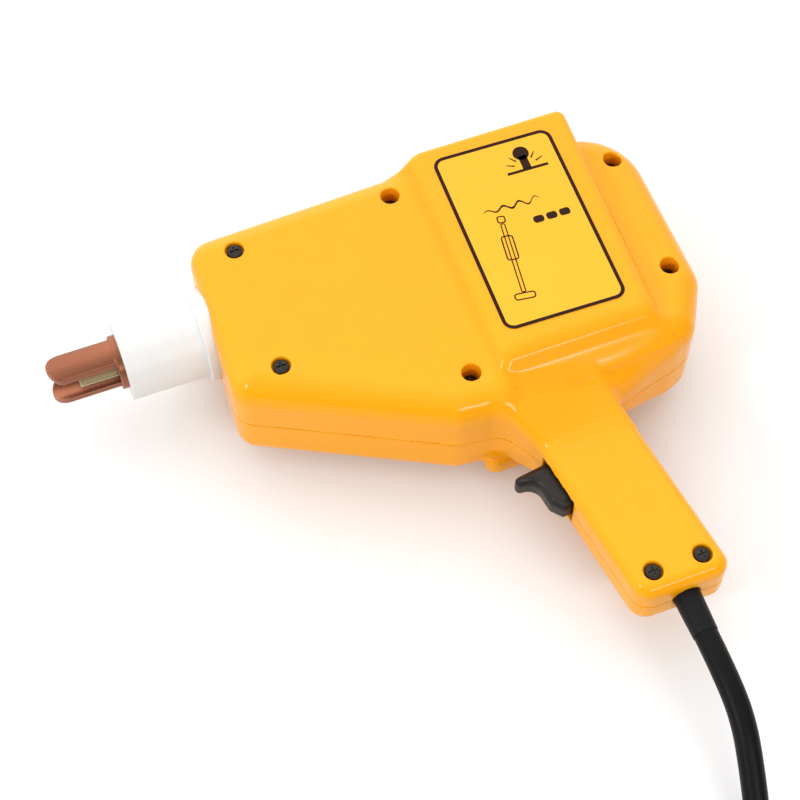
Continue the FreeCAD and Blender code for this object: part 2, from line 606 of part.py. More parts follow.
def fork_clamp():
    """Copper block clamped round the fork tube, its two screws and the bar that feeds it."""
    block_part = box("clamp_block", "clamp_long", "2 * clamp_half_y", "2 * clamp_half_z",
                     ("clamp_x", "- clamp_half_y", "mid_z - clamp_half_z"))
    bore = cylinder("clamp_bore", "fork_dia + 2 * run_gap", "40", ("clamp_x - 5", "0", "mid_z"), ALONG_X)
    slit = box("clamp_slit_tool", "40", "clamp_slit", "30",
               ("clamp_x - 5", "- clamp_slit / 2", "mid_z - 40"))
    threads = [cylinder("clamp_thread_%d" % number, "core_bolt_dia + 0.1", "9",
                        ("clamp_x + clamp_long / 2", y, "mid_z + clamp_half_z - 8"))
               for number, y in enumerate(("- clamp_bolt_y", "clamp_bolt_y"), start=1)]
    node("fork_clamp", cut("ForkClamp", block_part, bore, slit, *threads))
    bolts = []
    for number, y in enumerate(("- clamp_bolt_y", "clamp_bolt_y"), start=1):
        seat = "mid_z + clamp_half_z + bar_thick"
        head = cylinder("clamp_head_%d" % number, "bolt_head_dia", "bolt_head_height",
                        ("clamp_x + clamp_long / 2", y, seat))
        shank = cylinder("clamp_shank_%d" % number, "core_bolt_dia", "bar_thick + 7",
                         ("clamp_x + clamp_long / 2", y, seat + " - bar_thick - 7"))
        bolts.append(fuse("clamp_bolt_%d" % number, head, shank))
    node("clamp_bolts", group("ClampBolts", *bolts))


WINDING_FRONT_X = "core_x - leg - bobbin_gap - bobbin_wall - 0.1 - winding_thick"


def bus_bars():
    """Flat copper bars from the secondary's two ends to the fork clamp and to the braid."""
    top = "mid_z + clamp_half_z"
    long_bar = box("fork_bar_long", WINDING_FRONT_X + " - clamp_x - clamp_long", "bar_wide", "bar_thick",
                   ("clamp_x + clamp_long", "bar_low_y", top))
    cross_bar = box("fork_bar_cross", "clamp_long", "bar_cross", "bar_thick",
                    ("clamp_x", "- bar_cross / 2", top))
    holes = [cylinder("fork_bar_hole_%d" % number, "core_bolt_dia + 0.1", "bar_thick + 2",
                      ("clamp_x + clamp_long / 2", y, top + " - 1"))
             for number, y in enumerate(("- clamp_bolt_y", "clamp_bolt_y"), start=1)]
    node("fork_bus_bar", cut("ForkBusBar", fuse("ForkBarBlank", long_bar, cross_bar), *holes))
    long = WINDING_FRONT_X + " - electrode_bar_x"
    node("electrode_bus_bar", box("ElectrodeBusBar", long, "bar_wide", "bar_thick",
                                  ("electrode_bar_x", "bar_low_y", "mid_z - clamp_half_z - bar_thick")))


def braid():
    """Flexible braid that lets the rod slide while it stays connected."""
    foot = "mid_z - clamp_half_z"
    route = [point("electrode_bar_x + 7", "0", foot), point("electrode_bar_x + 7", "0", foot + " + 7"),
             point("electrode_bar_x + 20", "0", foot + " + 14"), point("rod_rear_x + 12", "0", "mid_z"),
             point("rod_rear_x", "0", "mid_z")]
    node("flexible_braid", tube("FlexibleBraid", "braid_dia", route, 4))


# ---------------------------------------------------------------- transformer

def window(name, half_x, half_z, low_y, high_y):
    """Block centred on the core's leg, used for ring-shaped parts wound round it."""
    return box(name, "2 * ( %s )" % half_x, "( %s ) - ( %s )" % (high_y, low_y), "2 * ( %s )" % half_z,
               ("core_x - ( %s )" % half_x, low_y, "mid_z - ( %s )" % half_z))


def ring(name, inner, outer, low_y, high_y):
    """Square ring round the core's leg; inner and outer are growths over the bare leg."""
    return cut(name, window(name + "_outer", "leg + " + outer, "core_half_z + " + outer, low_y, high_y),
               window(name + "_inner", "leg + " + inner, "core_half_z + " + inner,
                      low_y + " - 1", high_y + " + 1"))


CORE_BOLT_SPOTS = [
    ("core_x + %d * ( core_half_x - core_bolt_inset )" % side_x,
     "core_y + %d * ( core_half_y - core_bolt_inset )" % side_y)
    for side_x in (-1, 1) for side_y in (-1, 1)
]


def core():
    """Laminated core with two windows, the straps across its yokes and its four bolts."""
    body = box("core_block", "2 * core_half_x", "2 * core_half_y", "2 * ( core_half_z - strap_thick )",
               ("core_x - core_half_x", "core_y - core_half_y", "mid_z - core_half_z + strap_thick"))
    windows = [box("core_window_%d" % number, "leg", "2 * window_half_y", "60",
                   (x, "core_y - window_half_y", "mid_z - 30"))
               for number, x in enumerate(("core_x - 2 * leg", "core_x + leg"), start=1)]
    holes = [cylinder("core_hole_%d" % number, "core_bolt_dia + 0.1", "60", (x, y, "mid_z - 30"))
             for number, (x, y) in enumerate(CORE_BOLT_SPOTS, start=1)]
    node("transformer_core", cut("TransformerCore", body, *windows, *holes))
    straps = []
    strap_spots = [(y, z) for y in ("core_y - core_half_y", "core_y + core_half_y - leg")
                   for z in ("mid_z - core_half_z", "mid_z + core_half_z - strap_thick")]
    for number, (y, z) in enumerate(strap_spots, start=1):
        slab = box("strap_slab_%d" % number, "2 * core_half_x", "leg", "strap_thick",
                   ("core_x - core_half_x", y, z))
        drill = [cylinder("strap_%d_hole_%d" % (number, hole), "core_bolt_dia + 0.1", "strap_thick + 2",
                          (x, at_y, z + " - 1"))
                 for hole, (x, at_y) in enumerate(CORE_BOLT_SPOTS, start=1)]
        straps.append(cut("strap_%d" % number, slab, *drill))
    node("core_straps", group("CoreStraps", *straps))
    bolts = []
    for number, (x, y) in enumerate(CORE_BOLT_SPOTS, start=1):
        head = cylinder("core_head_%d" % number, "bolt_head_dia", "bolt_head_height",
                        (x, y, "mid_z + core_half_z"))
        shank = cylinder("core_shank_%d" % number, "core_bolt_dia", "2 * core_half_z + bolt_head_height",
                         (x, y, "mid_z - core_half_z - bolt_head_height"))
        nut = hexagon("core_nut_%d" % number, "bolt_head_dia + 1", "bolt_head_height",
                      (x, y, "mid_z - core_half_z - bolt_head_height"))
        bolts.append(fuse("core_bolt_%d" % number, head, shank, nut))
    node("core_bolts", group("CoreBolts", *bolts))


def windings():
    inner = "bobbin_gap"
    outer = "bobbin_gap + bobbin_wall"
    coil_inner = outer + " + 0.1"
    coil_outer = coil_inner + " + winding_thick"
    levels = ("bobbin_low_y", "bobbin_mid_y", "bobbin_high_y - flange_wall")
    flanges = [ring("bobbin_flange_%d" % number, inner, coil_outer + " + 0.5", y, y + " + flange_wall")
               for number, y in enumerate(levels, start=1)]
    tube_part = ring("bobbin_tube", inner, outer, "bobbin_low_y", "bobbin_high_y")
    node("bobbin", fuse("Bobbin", tube_part, *flanges))
    low = "bobbin_low_y + flange_wall"
    node("primary_winding", ring("PrimaryWinding", coil_inner, coil_outer, low, "bobbin_mid_y"))
    node("winding_wrap", ring("WindingWrap", coil_outer, coil_outer + " + wrap_thick", low, "bobbin_mid_y"))
    strap = ring("secondary_ring", coil_inner, coil_outer,
                 "bobbin_mid_y + flange_wall", "bobbin_high_y - flange_wall")
    slit = box("secondary_slit", "winding_thick + 4", "40", "2",
               (WINDING_FRONT_X + " - 1", "bobbin_mid_y", "mid_z - 1"))
    node("secondary_winding", cut("SecondaryWinding", strap, slit))
    node("thermal_cutout", box("ThermalCutout", "cutout_wide", "cutout_tall", "cutout_thick",
                               ("core_x - cutout_wide / 2", "cutout_low_y",
                                "mid_z + core_half_z + %s + wrap_thick" % coil_outer)))


# ---------------------------------------------------------------- trigger and switch

RAKE = Rotation(Vector(0, 0, 1), size("grip_rake"))
INTO_GRIP = RAKE * ALONG_X


def raked(along, up, z="mid_z"):
    """Place in the grip's raked frame: along points into the grip, up points along it."""
    spot = RAKE.multVec(point(along, up))
    return ("trigger_x + ( %.4f )" % spot.x, "trigger_y + ( %.4f )" % spot.y, z)


def trigger():
    """Trigger with a hooked nose over a finger hollow, and the lip that keeps it in."""
    body = doc.addObject("PartDesign::Body", "TriggerBody")
    sketch = body.newObject("Sketcher::SketchObject", "TriggerOutline")
    planes = [item for item in body.Origin.OriginFeatures if item.Role == "XY_Plane"]
    sketch.AttachmentSupport = [(planes[0], "")]
    sketch.MapMode = "FlatFace"
    corners = [("trigger_back", "nose_high"), ("2.5 - nose_out", "nose_high"),
               ("- nose_out", "nose_high - 2.5"), ("2 - nose_out", "nose_low"),
               ("- pad_out - 3.5", "nose_low - 0.8"), ("- pad_out", "pad_high"),
               ("- pad_out", "trigger_low + 6"), ("- toe_out", "trigger_low"),
               ("trigger_back", "trigger_low")]
    spots = [point(x, y) for x, y in corners]
    for number, spot in enumerate(spots):
        sketch.addGeometry(Part.LineSegment(spot, spots[(number + 1) % len(spots)]))
    for number, (x, y) in enumerate(corners):
        sketch.addConstraint(Sketcher.Constraint("Coincident", (number - 1) % len(corners), 2, number, 1))
        across = sketch.addConstraint(Sketcher.Constraint("DistanceX", number, 1, spots[number].x))
        sketch.setExpression("Constraints[%d]" % across, bound(x))
        upward = sketch.addConstraint(Sketcher.Constraint("DistanceY", number, 1, spots[number].y))
        sketch.setExpression("Constraints[%d]" % upward, bound(y))
    pad = body.newObject("PartDesign::Pad", "TriggerPad")
    pad.Profile = sketch
    pad.SideType = "Symmetric"
    bind(pad, "Length", "trigger_wide")
    doc.recompute()
    settle(body, raked("0", "0"), RAKE)
    lip = box("trigger_lip", "lip_thick", "nose_high - trigger_low + 2 * lip_over", "lip_wide",
              raked("trigger_back - 0.5", "trigger_low - lip_over", "mid_z - lip_wide / 2"), RAKE)
    node("trigger", fuse("Trigger", body, lip))


def switch():
    """Push switch behind the trigger, with its plunger, return spring and four blade terminals."""
    case = box("switch_case", "switch_deep", "switch_tall", "switch_wide",
               raked("switch_front", "switch_low", "mid_z - switch_wide / 2"), RAKE)
    bore = cylinder("switch_bore", "plunger_dia + 2 * run_gap", "15",
                    raked("switch_front - 1", "0"), INTO_GRIP)
    node("switch_body", cut("SwitchBody", case, bore))
    back = "trigger_back + lip_thick - 0.5"
    node("switch_plunger", cylinder("SwitchPlunger", "plunger_dia", "plunger_long",
                                    raked(back, "0"), INTO_GRIP))
    node("trigger_spring", coil_spring("TriggerSpring", "button_spring_dia", "button_spring_wire",
                                       "button_spring_turns", "switch_front - ( %s )" % back,
                                       raked(back, "0"), INTO_GRIP))
    blades = []
    for number, (up, across) in enumerate([(up, across) for up in ("switch_low - terminal_long",
                                                                   "switch_low + switch_tall")
                                           for across in ("-5", "5")], start=1):
        blades.append(box("blade_%d" % number, "terminal_wide", "terminal_long", "terminal_thick",
                          raked("switch_front + switch_deep / 2", up, "mid_z + " + across), RAKE))
    node("switch_terminals", group("SwitchTerminals", *blades))


# ---------------------------------------------------------------- mains cord and inner leads

# Routes of the insulated leads, from the cord's end: to the switch's lower blade, from its upper
# blade to the primary, to the primary, and to the core's earthed bolt.
LEAD_ROUTES = {
    "live_lead": [(-2, -192, 42), (-2, -184, 42), (-4.4, -174.5, 39.5), (-4.4, -166.6, 37.4)],
    "switched_lead": [(-9.6, -123.9, 47.4), (-10.5, -112, 48), (-12, -98, 56), (-11, -82, 65),
                      (-9, -66, 73.4), (-7, -58, 74.6)],
    "neutral_lead": [(4, -192, 40), (4, -184, 40), (10, -165, 36), (6, -140, 34), (3.5, -118, 33.5),
                     (4.5, -106, 32), (9, -95, 22), (9, -84, 15.5), (9, -72, 11), (9, -58, 10.5)],
    "earth_lead": [(1, -192, 46), (1, -184, 46), (11.5, -165, 48), (8, -140, 47), (3.5, -118, 49),
                   (4.5, -106, 50.5), (12, -98, 56), (18, -88, 62), (24, -76, 67), (27, -67, 66.4)],
}


def inner_leads():
    for name, route in LEAD_ROUTES.items():
        node(name, tube(name + "_tube", "lead_dia", [Vector(*spot) for spot in route], LEAD_BEND))


CORD_ROUTE = [
    (1, -239.7, 42), (1, -261, 42), (0.6, -283, 37), (-0.8, -306, 26), (-3, -329, 14.5),
    (-5.5, -351, 7.5), (-9, -375, 6.4),
]
TAIL_ROUTE = [(-109, -485, 19.1), (-121, -483, 18.5), (-134, -483, 18.5)]


def mains_cord():
    relief = [cone("relief_cone", "relief_tip_dia", "relief_dia", "relief_long",
                   ("cord_x", "foot_y - relief_long", "mid_z"), ALONG_Y),
              cylinder("relief_neck", "relief_dia", "wall + 0.1", ("cord_x", "foot_y", "mid_z"), ALONG_Y),
              cylinder("relief_rim", "relief_flange_dia", "relief_flange",
                       ("cord_x", "foot_y + wall + 0.1", "mid_z"), ALONG_Y)]
    node("strain_relief", fuse("StrainRelief", *relief))
    inside_y = "foot_y + wall + 0.1 + relief_flange"
    node("cord_end", cylinder("CordEnd", "cord_dia", "tail_top_y - ( %s )" % inside_y,
                              ("cord_x", inside_y, "mid_z"), ALONG_Y))
    bar = box("saddle_bar", "saddle_wide", "saddle_long", "saddle_thick",
              ("cord_x - saddle_wide / 2", "saddle_y", "mid_z - cord_dia / 2 - saddle_thick"))
    node("cord_saddle", bar)
    spots = [("cord_x + %d * saddle_screw_x" % side, "saddle_y + saddle_long / 2", "mid_z - cord_dia / 2")
             for side in (-1, 1)]
    node("saddle_screws", group("SaddleScrews", *[
        cylinder("saddle_screw_%d" % number, "saddle_screw_dia", "saddle_screw_long", spot)
        for number, spot in enumerate(spots, start=1)]))
    node("mains_cord", tube("MainsCord", "cord_dia", [Vector(*spot) for spot in CORD_ROUTE]))
    node("cord_tail", tube("CordTail", "cord_dia", [Vector(*spot) for spot in TAIL_ROUTE]))


def cord_coil():
    """Outer shape of four turns wound two by two, and the tie round them."""
    outer = cylinder("coil_outer", "2 * ( coil_mean + cord_dia )", "2 * cord_dia",
                     ("coil_x", "coil_y", "coil_lift"))
    inner = cylinder("coil_inner", "2 * ( coil_mean - cord_dia )", "3 * cord_dia",
                     ("coil_x", "coil_y", "-5"))
    node("cord_coil", cut("CordCoil", outer, inner))
    tie_out = box("tie_outer", "2 * ( cord_dia + tie_thick )", "tie_wide", "2 * ( cord_dia + tie_thick )",
                  ("coil_x - coil_mean - cord_dia - tie_thick", "coil_y - tie_wide / 2",
                   "coil_lift - tie_thick"))
    hole_out = cylinder("tie_ring_outer", "2 * ( coil_mean + cord_dia ) + 0.1", "2 * cord_dia + 0.1",
                        ("coil_x", "coil_y", "coil_lift - 0.05"))
    hole_in = cylinder("tie_ring_inner", "2 * ( coil_mean - cord_dia ) - 0.1", "3 * cord_dia",
                       ("coil_x", "coil_y", "-5"))
    node("coil_tie", cut("CoilTie", tie_out, cut("TieOpening", hole_out, hole_in)))


def plug():
    west = Rotation(Vector(0, 1, 0), -90)
    boot = cone("plug_boot", "boot_tip_dia", "boot_dia", "boot_long", ("plug_x", "plug_y", "plug_z"), west)
    back = cone("plug_back", "plug_rear_dia", "plug_dia", "plug_long / 2",
                ("plug_x - boot_long", "plug_y", "plug_z"), west)
    front = cylinder("plug_front", "plug_dia", "plug_long / 2",
                     ("plug_x - boot_long - plug_long / 2", "plug_y", "plug_z"), west)
    holes = []
    pins = []
    face = "plug_x - boot_long - plug_long"
    for number, side in enumerate((-1, 1), start=1):
        y = "plug_y + %d * pin_apart / 2" % side
        root = (face + " + pin_embed", y, "plug_z")
        holes.append(cylinder("pin_hole_%d" % number, "pin_neck_dia + 2 * run_gap", "pin_embed + 1",
                              root, west))
        neck = cylinder("pin_neck_%d" % number, "pin_neck_dia", "pin_embed + pin_neck_out + 1", root, west)
        barrel = cylinder("pin_barrel_%d" % number, "pin_dia", "pin_long - pin_neck_out",
                          (face + " - pin_neck_out", y, "plug_z"), west)
        pins.append(fuse("plug_pin_%d" % number, neck, barrel))
    node("plug_body", cut("PlugBody", fuse("PlugSolid", boot, back, front), *holes))
    node("plug_pins", group("PlugPins", *pins))


def build():
    half = half_shell()
    left_shell(half)
    right_shell(half)
    housing_screws()
    label()
    nose_insulator()
    ground_fork()
    guide_bush()
    electrode()
    spring_plate()
    fork_clamp()
    bus_bars()
    braid()
    core()
    windings()
    trigger()
    switch()
    inner_leads()
    mains_cord()
    cord_coil()
    plug()
    doc.recompute()


def check():
    """Stop if any object failed or any sub-part is not a sound solid."""
    for thing in doc.Objects:
        if "Invalid" in thing.State or "Error" in thing.State:
            raise RuntimeError("failed object: %s %s" % (thing.Name, thing.State))
    for label_text, thing in nodes.items():
        if thing.Shape.isNull() or not thing.Shape.isValid() or not thing.Shape.Solids:
            raise RuntimeError("unsound shape: " + label_text)


def check_strokes():
    """Stop if a moving piece meets a fixed one at the end of its stroke."""
    push = Vector(size("electrode_stroke"), 0, 0)
    pull = RAKE.multVec(point("trigger_stroke", "0"))
    for mover, stroke, fixed in (("stud_collet", push, "guide_bush"), ("spring_ring", push, "spring_plate"),
                                 ("electrode_rod", push, "spring_plate"), ("trigger", pull, "switch_body"),
                                 ("trigger", pull, "left_shell"), ("switch_plunger", pull, "switch_body")):
        moved = nodes[mover].Shape.translated(stroke)
        if moved.common(nodes[fixed].Shape).Volume > 0.1:
            raise RuntimeError("%s meets %s" % (mover, fixed))


def write():
    os.makedirs("parts", exist_ok=True)
    for label_text, thing in nodes.items():
        thing.Shape.exportStep("parts/%s.step" % label_text)
    print("%d nodes written" % len(nodes))


build()
check()
check_strokes()
write()
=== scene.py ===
import json
import math

import bmesh
import bpy
import numpy as np
from mathutils import Matrix, Vector


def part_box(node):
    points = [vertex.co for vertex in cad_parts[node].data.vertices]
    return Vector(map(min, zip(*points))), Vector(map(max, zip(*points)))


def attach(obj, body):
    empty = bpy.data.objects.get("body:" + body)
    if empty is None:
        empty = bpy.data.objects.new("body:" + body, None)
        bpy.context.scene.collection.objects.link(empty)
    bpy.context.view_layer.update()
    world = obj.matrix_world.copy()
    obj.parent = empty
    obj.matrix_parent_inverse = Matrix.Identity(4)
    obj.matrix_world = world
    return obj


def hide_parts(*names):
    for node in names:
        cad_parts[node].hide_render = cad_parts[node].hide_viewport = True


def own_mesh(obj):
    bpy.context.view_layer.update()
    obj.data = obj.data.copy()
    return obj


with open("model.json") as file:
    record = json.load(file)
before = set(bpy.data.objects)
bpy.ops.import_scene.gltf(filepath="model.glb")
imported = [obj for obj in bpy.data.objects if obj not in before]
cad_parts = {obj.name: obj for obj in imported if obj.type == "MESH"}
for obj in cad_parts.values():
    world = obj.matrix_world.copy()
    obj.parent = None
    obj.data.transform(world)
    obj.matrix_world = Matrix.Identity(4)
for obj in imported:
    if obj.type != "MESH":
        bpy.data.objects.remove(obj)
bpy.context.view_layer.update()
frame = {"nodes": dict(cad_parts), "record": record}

# The spot welder lies on its right side.  Its frame: +X from the nose back along the barrel,
# +Y from the foot of the grip up, +Z out of the left side.  Sizes are in millimetres until a mesh
# is made; MM turns them into metres.
MM = 0.001
MID_Z = 42


def metres(*spot):
    return Vector(spot) * MM


# ---------------------------------------------------------------- camera, floor and light

LOOK_AT = metres(-88, -71.257, MID_Z)
LOOK_ALONG = Vector((0.17486, 0.46032, -0.87036))
CAMERA_AWAY = 0.95616
LENS = 86.06
SENSOR = 36
SKY_BRIGHT = Vector((-0.07, 0.82, 0.57)).normalized()
SKY_LEAST, SKY_MOST = 0.14, 2.2
FLOOR_HALF = 4.0
LIGHTS_AIM = metres(-50, -50, MID_Z)
# Each light's name, its place from the point that they aim at and its size in metres, and its watts.
LIGHTS = [
    ("strip_light", (0.1, -1.0, 0.66), (0.62, 0.014), 4.0),
    ("side_light", (-0.86, -0.32, 0.62), (0.12, 0.12), 2.6),
]


def add_object(name, data):
    """Object that holds some data, linked to the scene."""
    piece = bpy.data.objects.new(name, data)
    bpy.context.scene.collection.objects.link(piece)
    return piece


def camera():
    data = bpy.data.cameras.new("camera")
    data.lens = LENS
    data.sensor_width = SENSOR
    data.clip_end = 20
    piece = add_object("camera", data)
    piece.location = LOOK_AT - LOOK_ALONG * CAMERA_AWAY
    piece.rotation_euler = LOOK_ALONG.to_track_quat("-Z", "Y").to_euler()
    bpy.context.scene.camera = piece


def area_light(name, offset, size, power):
    data = bpy.data.lights.new(name, "AREA")
    data.shape = "RECTANGLE"
    data.size, data.size_y = size
    data.energy = power
    piece = add_object(name, data)
    piece.location = LIGHTS_AIM + Vector(offset)
    piece.rotation_euler = (LIGHTS_AIM - piece.location).to_track_quat("-Z", "Y").to_euler()


def plain_mesh(name, spots, faces):
    """Object made of points in metres and faces."""
    mesh = bpy.data.meshes.new(name)
    mesh.from_pydata(spots, [], faces)
    mesh.update()
    return add_object(name, mesh)


def studio():
    """Pale floor, two small lights, and a sky that brightens towards one side of the object."""
    scene = bpy.context.scene
    scene.view_settings.view_transform = "Standard"
    world = bpy.data.worlds.new("studio")
    scene.world = world
    world.use_nodes = True
    tree = world.node_tree
    way = add_node(tree, "TexCoord").outputs["Generated"]
    toward = add_node(tree, "VectorMath", {0: way, 1: SKY_BRIGHT}, operation="DOT_PRODUCT")
    share = add_node(tree, "MapRange", {"Value": toward.outputs["Value"], "From Min": -1.0})
    squared = add_node(tree, "Math", {0: share.outputs["Result"], 1: 2.0}, operation="POWER")
    level = add_node(tree, "MapRange", {"Value": squared.outputs["Value"], "To Min": SKY_LEAST,
                                        "To Max": SKY_MOST})
    background = tree.nodes["Background"]
    tree.links.new(level.outputs["Result"], background.inputs["Strength"])
    background.inputs["Color"].default_value = (1, 1, 1, 1)
    far = FLOOR_HALF
    floor = plain_mesh("floor", [(-far, -far, 0), (far, -far, 0), (far, far, 0), (-far, far, 0)],
                       [(0, 1, 2, 3)])
    floor.data.materials.append(material("pale_floor", (0.80, 0.80, 0.80), 0.6, tint=0.01, grain=60))
    for light in LIGHTS:
        area_light(*light)


# ---------------------------------------------------------------- materials

FINISH_IOR = 1.45
BUMP_DEPTH = 0.0004
WORN_FROM, WORN_TO = 0.52, 0.6
# The Mix node's sockets for colours.
MIX_BASE, MIX_OVER, MIX_RESULT = 6, 7, 2


def add_node(tree, kind, inputs=(), **settings):
    """Shader node with its settings made, and its inputs linked or set."""
    made = tree.nodes.new("ShaderNode" + kind)
    for key, setting in settings.items():
        setattr(made, key, setting)
    for socket, entry in dict(inputs).items():
        if isinstance(entry, bpy.types.NodeSocket):
            tree.links.new(entry, made.inputs[socket])
        else:
            made.inputs[socket].default_value = entry
    return made


def material(name, colour, roughness, metallic=0.0, tint=0.04, grain=300.0, bump=0.0, bump_scale=None,
             rough_spread=0.05, stretch=(1, 1, 1), worn=None, specular=0.5):
    """Procedural finish: mottled colour, worn edges, uneven gloss and a fine bump, in object space."""
    made = bpy.data.materials.new(name)
    made.use_nodes = True
    tree = made.node_tree
    shader = tree.nodes["Principled BSDF"]
    shader.inputs["Metallic"].default_value = metallic
    shader.inputs["IOR"].default_value = FINISH_IOR
    shader.inputs["Specular IOR Level"].default_value = specular
    where = add_node(tree, "TexCoord").outputs["Object"]
    placed = add_node(tree, "Mapping", {"Vector": where, "Scale": stretch}).outputs["Vector"]
    cloud = add_node(tree, "TexNoise", {"Vector": placed, "Scale": grain / 6, "Detail": 3.0}).outputs["Fac"]
    dark = tuple(part * (1 - tint) for part in colour)
    light = tuple(min(part * (1 + tint), 1) for part in colour)
    ramp = add_node(tree, "ValToRGB", {"Fac": cloud})
    for stop, place, tone in zip(ramp.color_ramp.elements, (0.3, 0.7), (dark, light)):
        stop.position = place
        stop.color = (*tone, 1)
    shade = ramp.outputs["Color"]
    if worn:
        sharpness = add_node(tree, "NewGeometry").outputs["Pointiness"]
        edge = add_node(tree, "MapRange", {"Value": sharpness, "From Min": WORN_FROM, "From Max": WORN_TO})
        mixed = add_node(tree, "Mix", {"Factor": edge.outputs["Result"]}, data_type="RGBA")
        tree.links.new(shade, mixed.inputs[MIX_BASE])
        mixed.inputs[MIX_OVER].default_value = (*worn, 1)
        shade = mixed.outputs[MIX_RESULT]
    tree.links.new(shade, shader.inputs["Base Color"])
    speckle = add_node(tree, "TexNoise", {"Vector": placed, "Scale": grain, "Detail": 4.0}).outputs["Fac"]
    gloss = add_node(tree, "MapRange", {"Value": speckle, "To Min": max(roughness - rough_spread, 0.02),
                                        "To Max": roughness + rough_spread}).outputs["Result"]
    tree.links.new(gloss, shader.inputs["Roughness"])
    if bump:
        ripple = add_node(tree, "TexNoise", {"Vector": placed, "Scale": bump_scale or grain * 4,
                                             "Detail": 2.0}).outputs["Fac"]
        raised = add_node(tree, "Bump", {"Height": ripple, "Strength": bump, "Distance": BUMP_DEPTH})
        tree.links.new(raised.outputs["Normal"], shader.inputs["Normal"])
    return made


LOOKS = {
    "yellow_plastic": dict(colour=(0.90, 0.36, 0.004), roughness=0.18, tint=0.012, grain=420, bump=0.014,
                           bump_scale=900, rough_spread=0.02, specular=0.26),
    "black_screws": dict(colour=(0.016, 0.012, 0.010), roughness=0.3, metallic=0.4, tint=0.2, grain=900,
                         bump=0.06, worn=(0.08, 0.065, 0.055)),
    "label_film": dict(colour=(0.88, 0.42, 0.012), roughness=0.35, tint=0.01, grain=300, bump=0.02,
                       specular=0.3),
    "label_ink": dict(colour=(0.022, 0.006, 0.002), roughness=0.55, tint=0.15, grain=900, bump=0.02,
                      specular=0.15),
    "white_insulator": dict(colour=(0.71, 0.705, 0.69), roughness=0.4, tint=0.015, grain=200, bump=0.03,
                            stretch=(6, 1, 1)),
    "copper": dict(colour=(0.29, 0.105, 0.055), roughness=0.36, metallic=0.85, tint=0.2, grain=260,
                   bump=0.1, bump_scale=700, stretch=(0.35, 1.6, 1.6), worn=(0.48, 0.22, 0.13)),
    "bush_plastic": dict(colour=(0.62, 0.56, 0.42), roughness=0.5, grain=300, bump=0.05),
    "brass": dict(colour=(0.30, 0.225, 0.115), roughness=0.36, metallic=0.85, tint=0.2, grain=350,
                  bump=0.15, bump_scale=800, stretch=(0.4, 1.5, 1.5), worn=(0.8, 0.7, 0.5)),
    "spring_steel": dict(colour=(0.45, 0.45, 0.46), roughness=0.28, metallic=1.0, tint=0.1, grain=600),
    "board": dict(colour=(0.28, 0.14, 0.06), roughness=0.6, tint=0.15, grain=500, bump=0.1,
                  stretch=(1, 6, 1)),
    "plated_steel": dict(colour=(0.62, 0.62, 0.58), roughness=0.3, metallic=1.0, tint=0.1, grain=300,
                         bump=0.05),
    "core_steel": dict(colour=(0.20, 0.21, 0.23), roughness=0.42, metallic=0.9, tint=0.25, grain=500,
                       bump=0.4, bump_scale=1500, stretch=(0.05, 0.05, 2)),
    "bobbin_plastic": dict(colour=(0.72, 0.70, 0.62), roughness=0.5, grain=300, bump=0.05),
    "winding_enamel": dict(colour=(0.42, 0.13, 0.04), roughness=0.25, metallic=0.6, tint=0.3, grain=300,
                           bump=0.5, bump_scale=1400, stretch=(0.05, 2, 0.05)),
    "wrap_tape": dict(colour=(0.70, 0.52, 0.10), roughness=0.4, tint=0.08, grain=300, bump=0.1),
    "trigger_plastic": dict(colour=(0.013, 0.009, 0.006), roughness=0.4, tint=0.12, grain=700, bump=0.08,
                            bump_scale=2200, specular=0.35),
    "black_plastic": dict(colour=(0.003, 0.003, 0.0034), roughness=0.45, tint=0.1, grain=700, bump=0.08,
                          specular=0.2),
    "brown_lead": dict(colour=(0.16, 0.06, 0.03), roughness=0.4, grain=500, bump=0.05),
    "blue_lead": dict(colour=(0.02, 0.08, 0.35), roughness=0.4, grain=500, bump=0.05),
    "green_lead": dict(colour=(0.25, 0.40, 0.02), roughness=0.4, grain=500, bump=0.05),
    "cord_rubber": dict(colour=(0.002, 0.002, 0.0022), roughness=0.42, tint=0.15, grain=500, bump=0.08,
                        bump_scale=1500, specular=0.16),
    "tie_strap": dict(colour=(0.006, 0.006, 0.0065), roughness=0.6, tint=0.2, grain=900, bump=0.4,
                      bump_scale=1800, stretch=(1, 3, 1), specular=0.25),
    "plug_plastic": dict(colour=(0.004, 0.004, 0.0044), roughness=0.45, tint=0.12, grain=600, bump=0.1,
                         bump_scale=1800, specular=0.3),
    "plated_brass": dict(colour=(0.70, 0.68, 0.62), roughness=0.22, metallic=1.0, tint=0.06, grain=500,
                         stretch=(0.3, 1, 1)),
}
FINISHES = {name: material(name, **look) for name, look in LOOKS.items()}


def settle_piece(piece, body, slot, *nodes, finish=None):
    """Ride a piece on its body, give it the finish named by its slot or the finish passed in, and hide the
    nodes it stands for.
    """
    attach(piece, body)
    if nodes:
        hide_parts(*nodes)
    piece.data.materials.clear()
    piece.data.materials.append(FINISHES[finish or slot])


# ---------------------------------------------------------------- rounded solids as signed distances

def rounded_and(a, b, radius):
    """Distance of what two solids share, its common edge rounded."""
    a = a + radius
    b = b + radius
    return np.minimum(np.maximum(a, b), 0) + np.hypot(np.maximum(a, 0), np.maximum(b, 0)) - radius


def rounded_or(a, b, radius):
    """Distance of two solids together, the corner between them filled to a radius."""
    return -rounded_and(-a, -b, radius)


def carved(solid, tool, radius=0.0):
    """Distance of a solid less a tool, the rim rounded."""
    return rounded_and(solid, -tool, radius) if radius else np.maximum(solid, -tool)


def rod(a, b, radius):
    """Distance from a round rod, a and b being the two offsets from its axis."""
    return np.hypot(a, b) - radius


def span(a, low, high):
    """Distance from the slab between two levels."""
    return np.maximum(low - a, a - high)


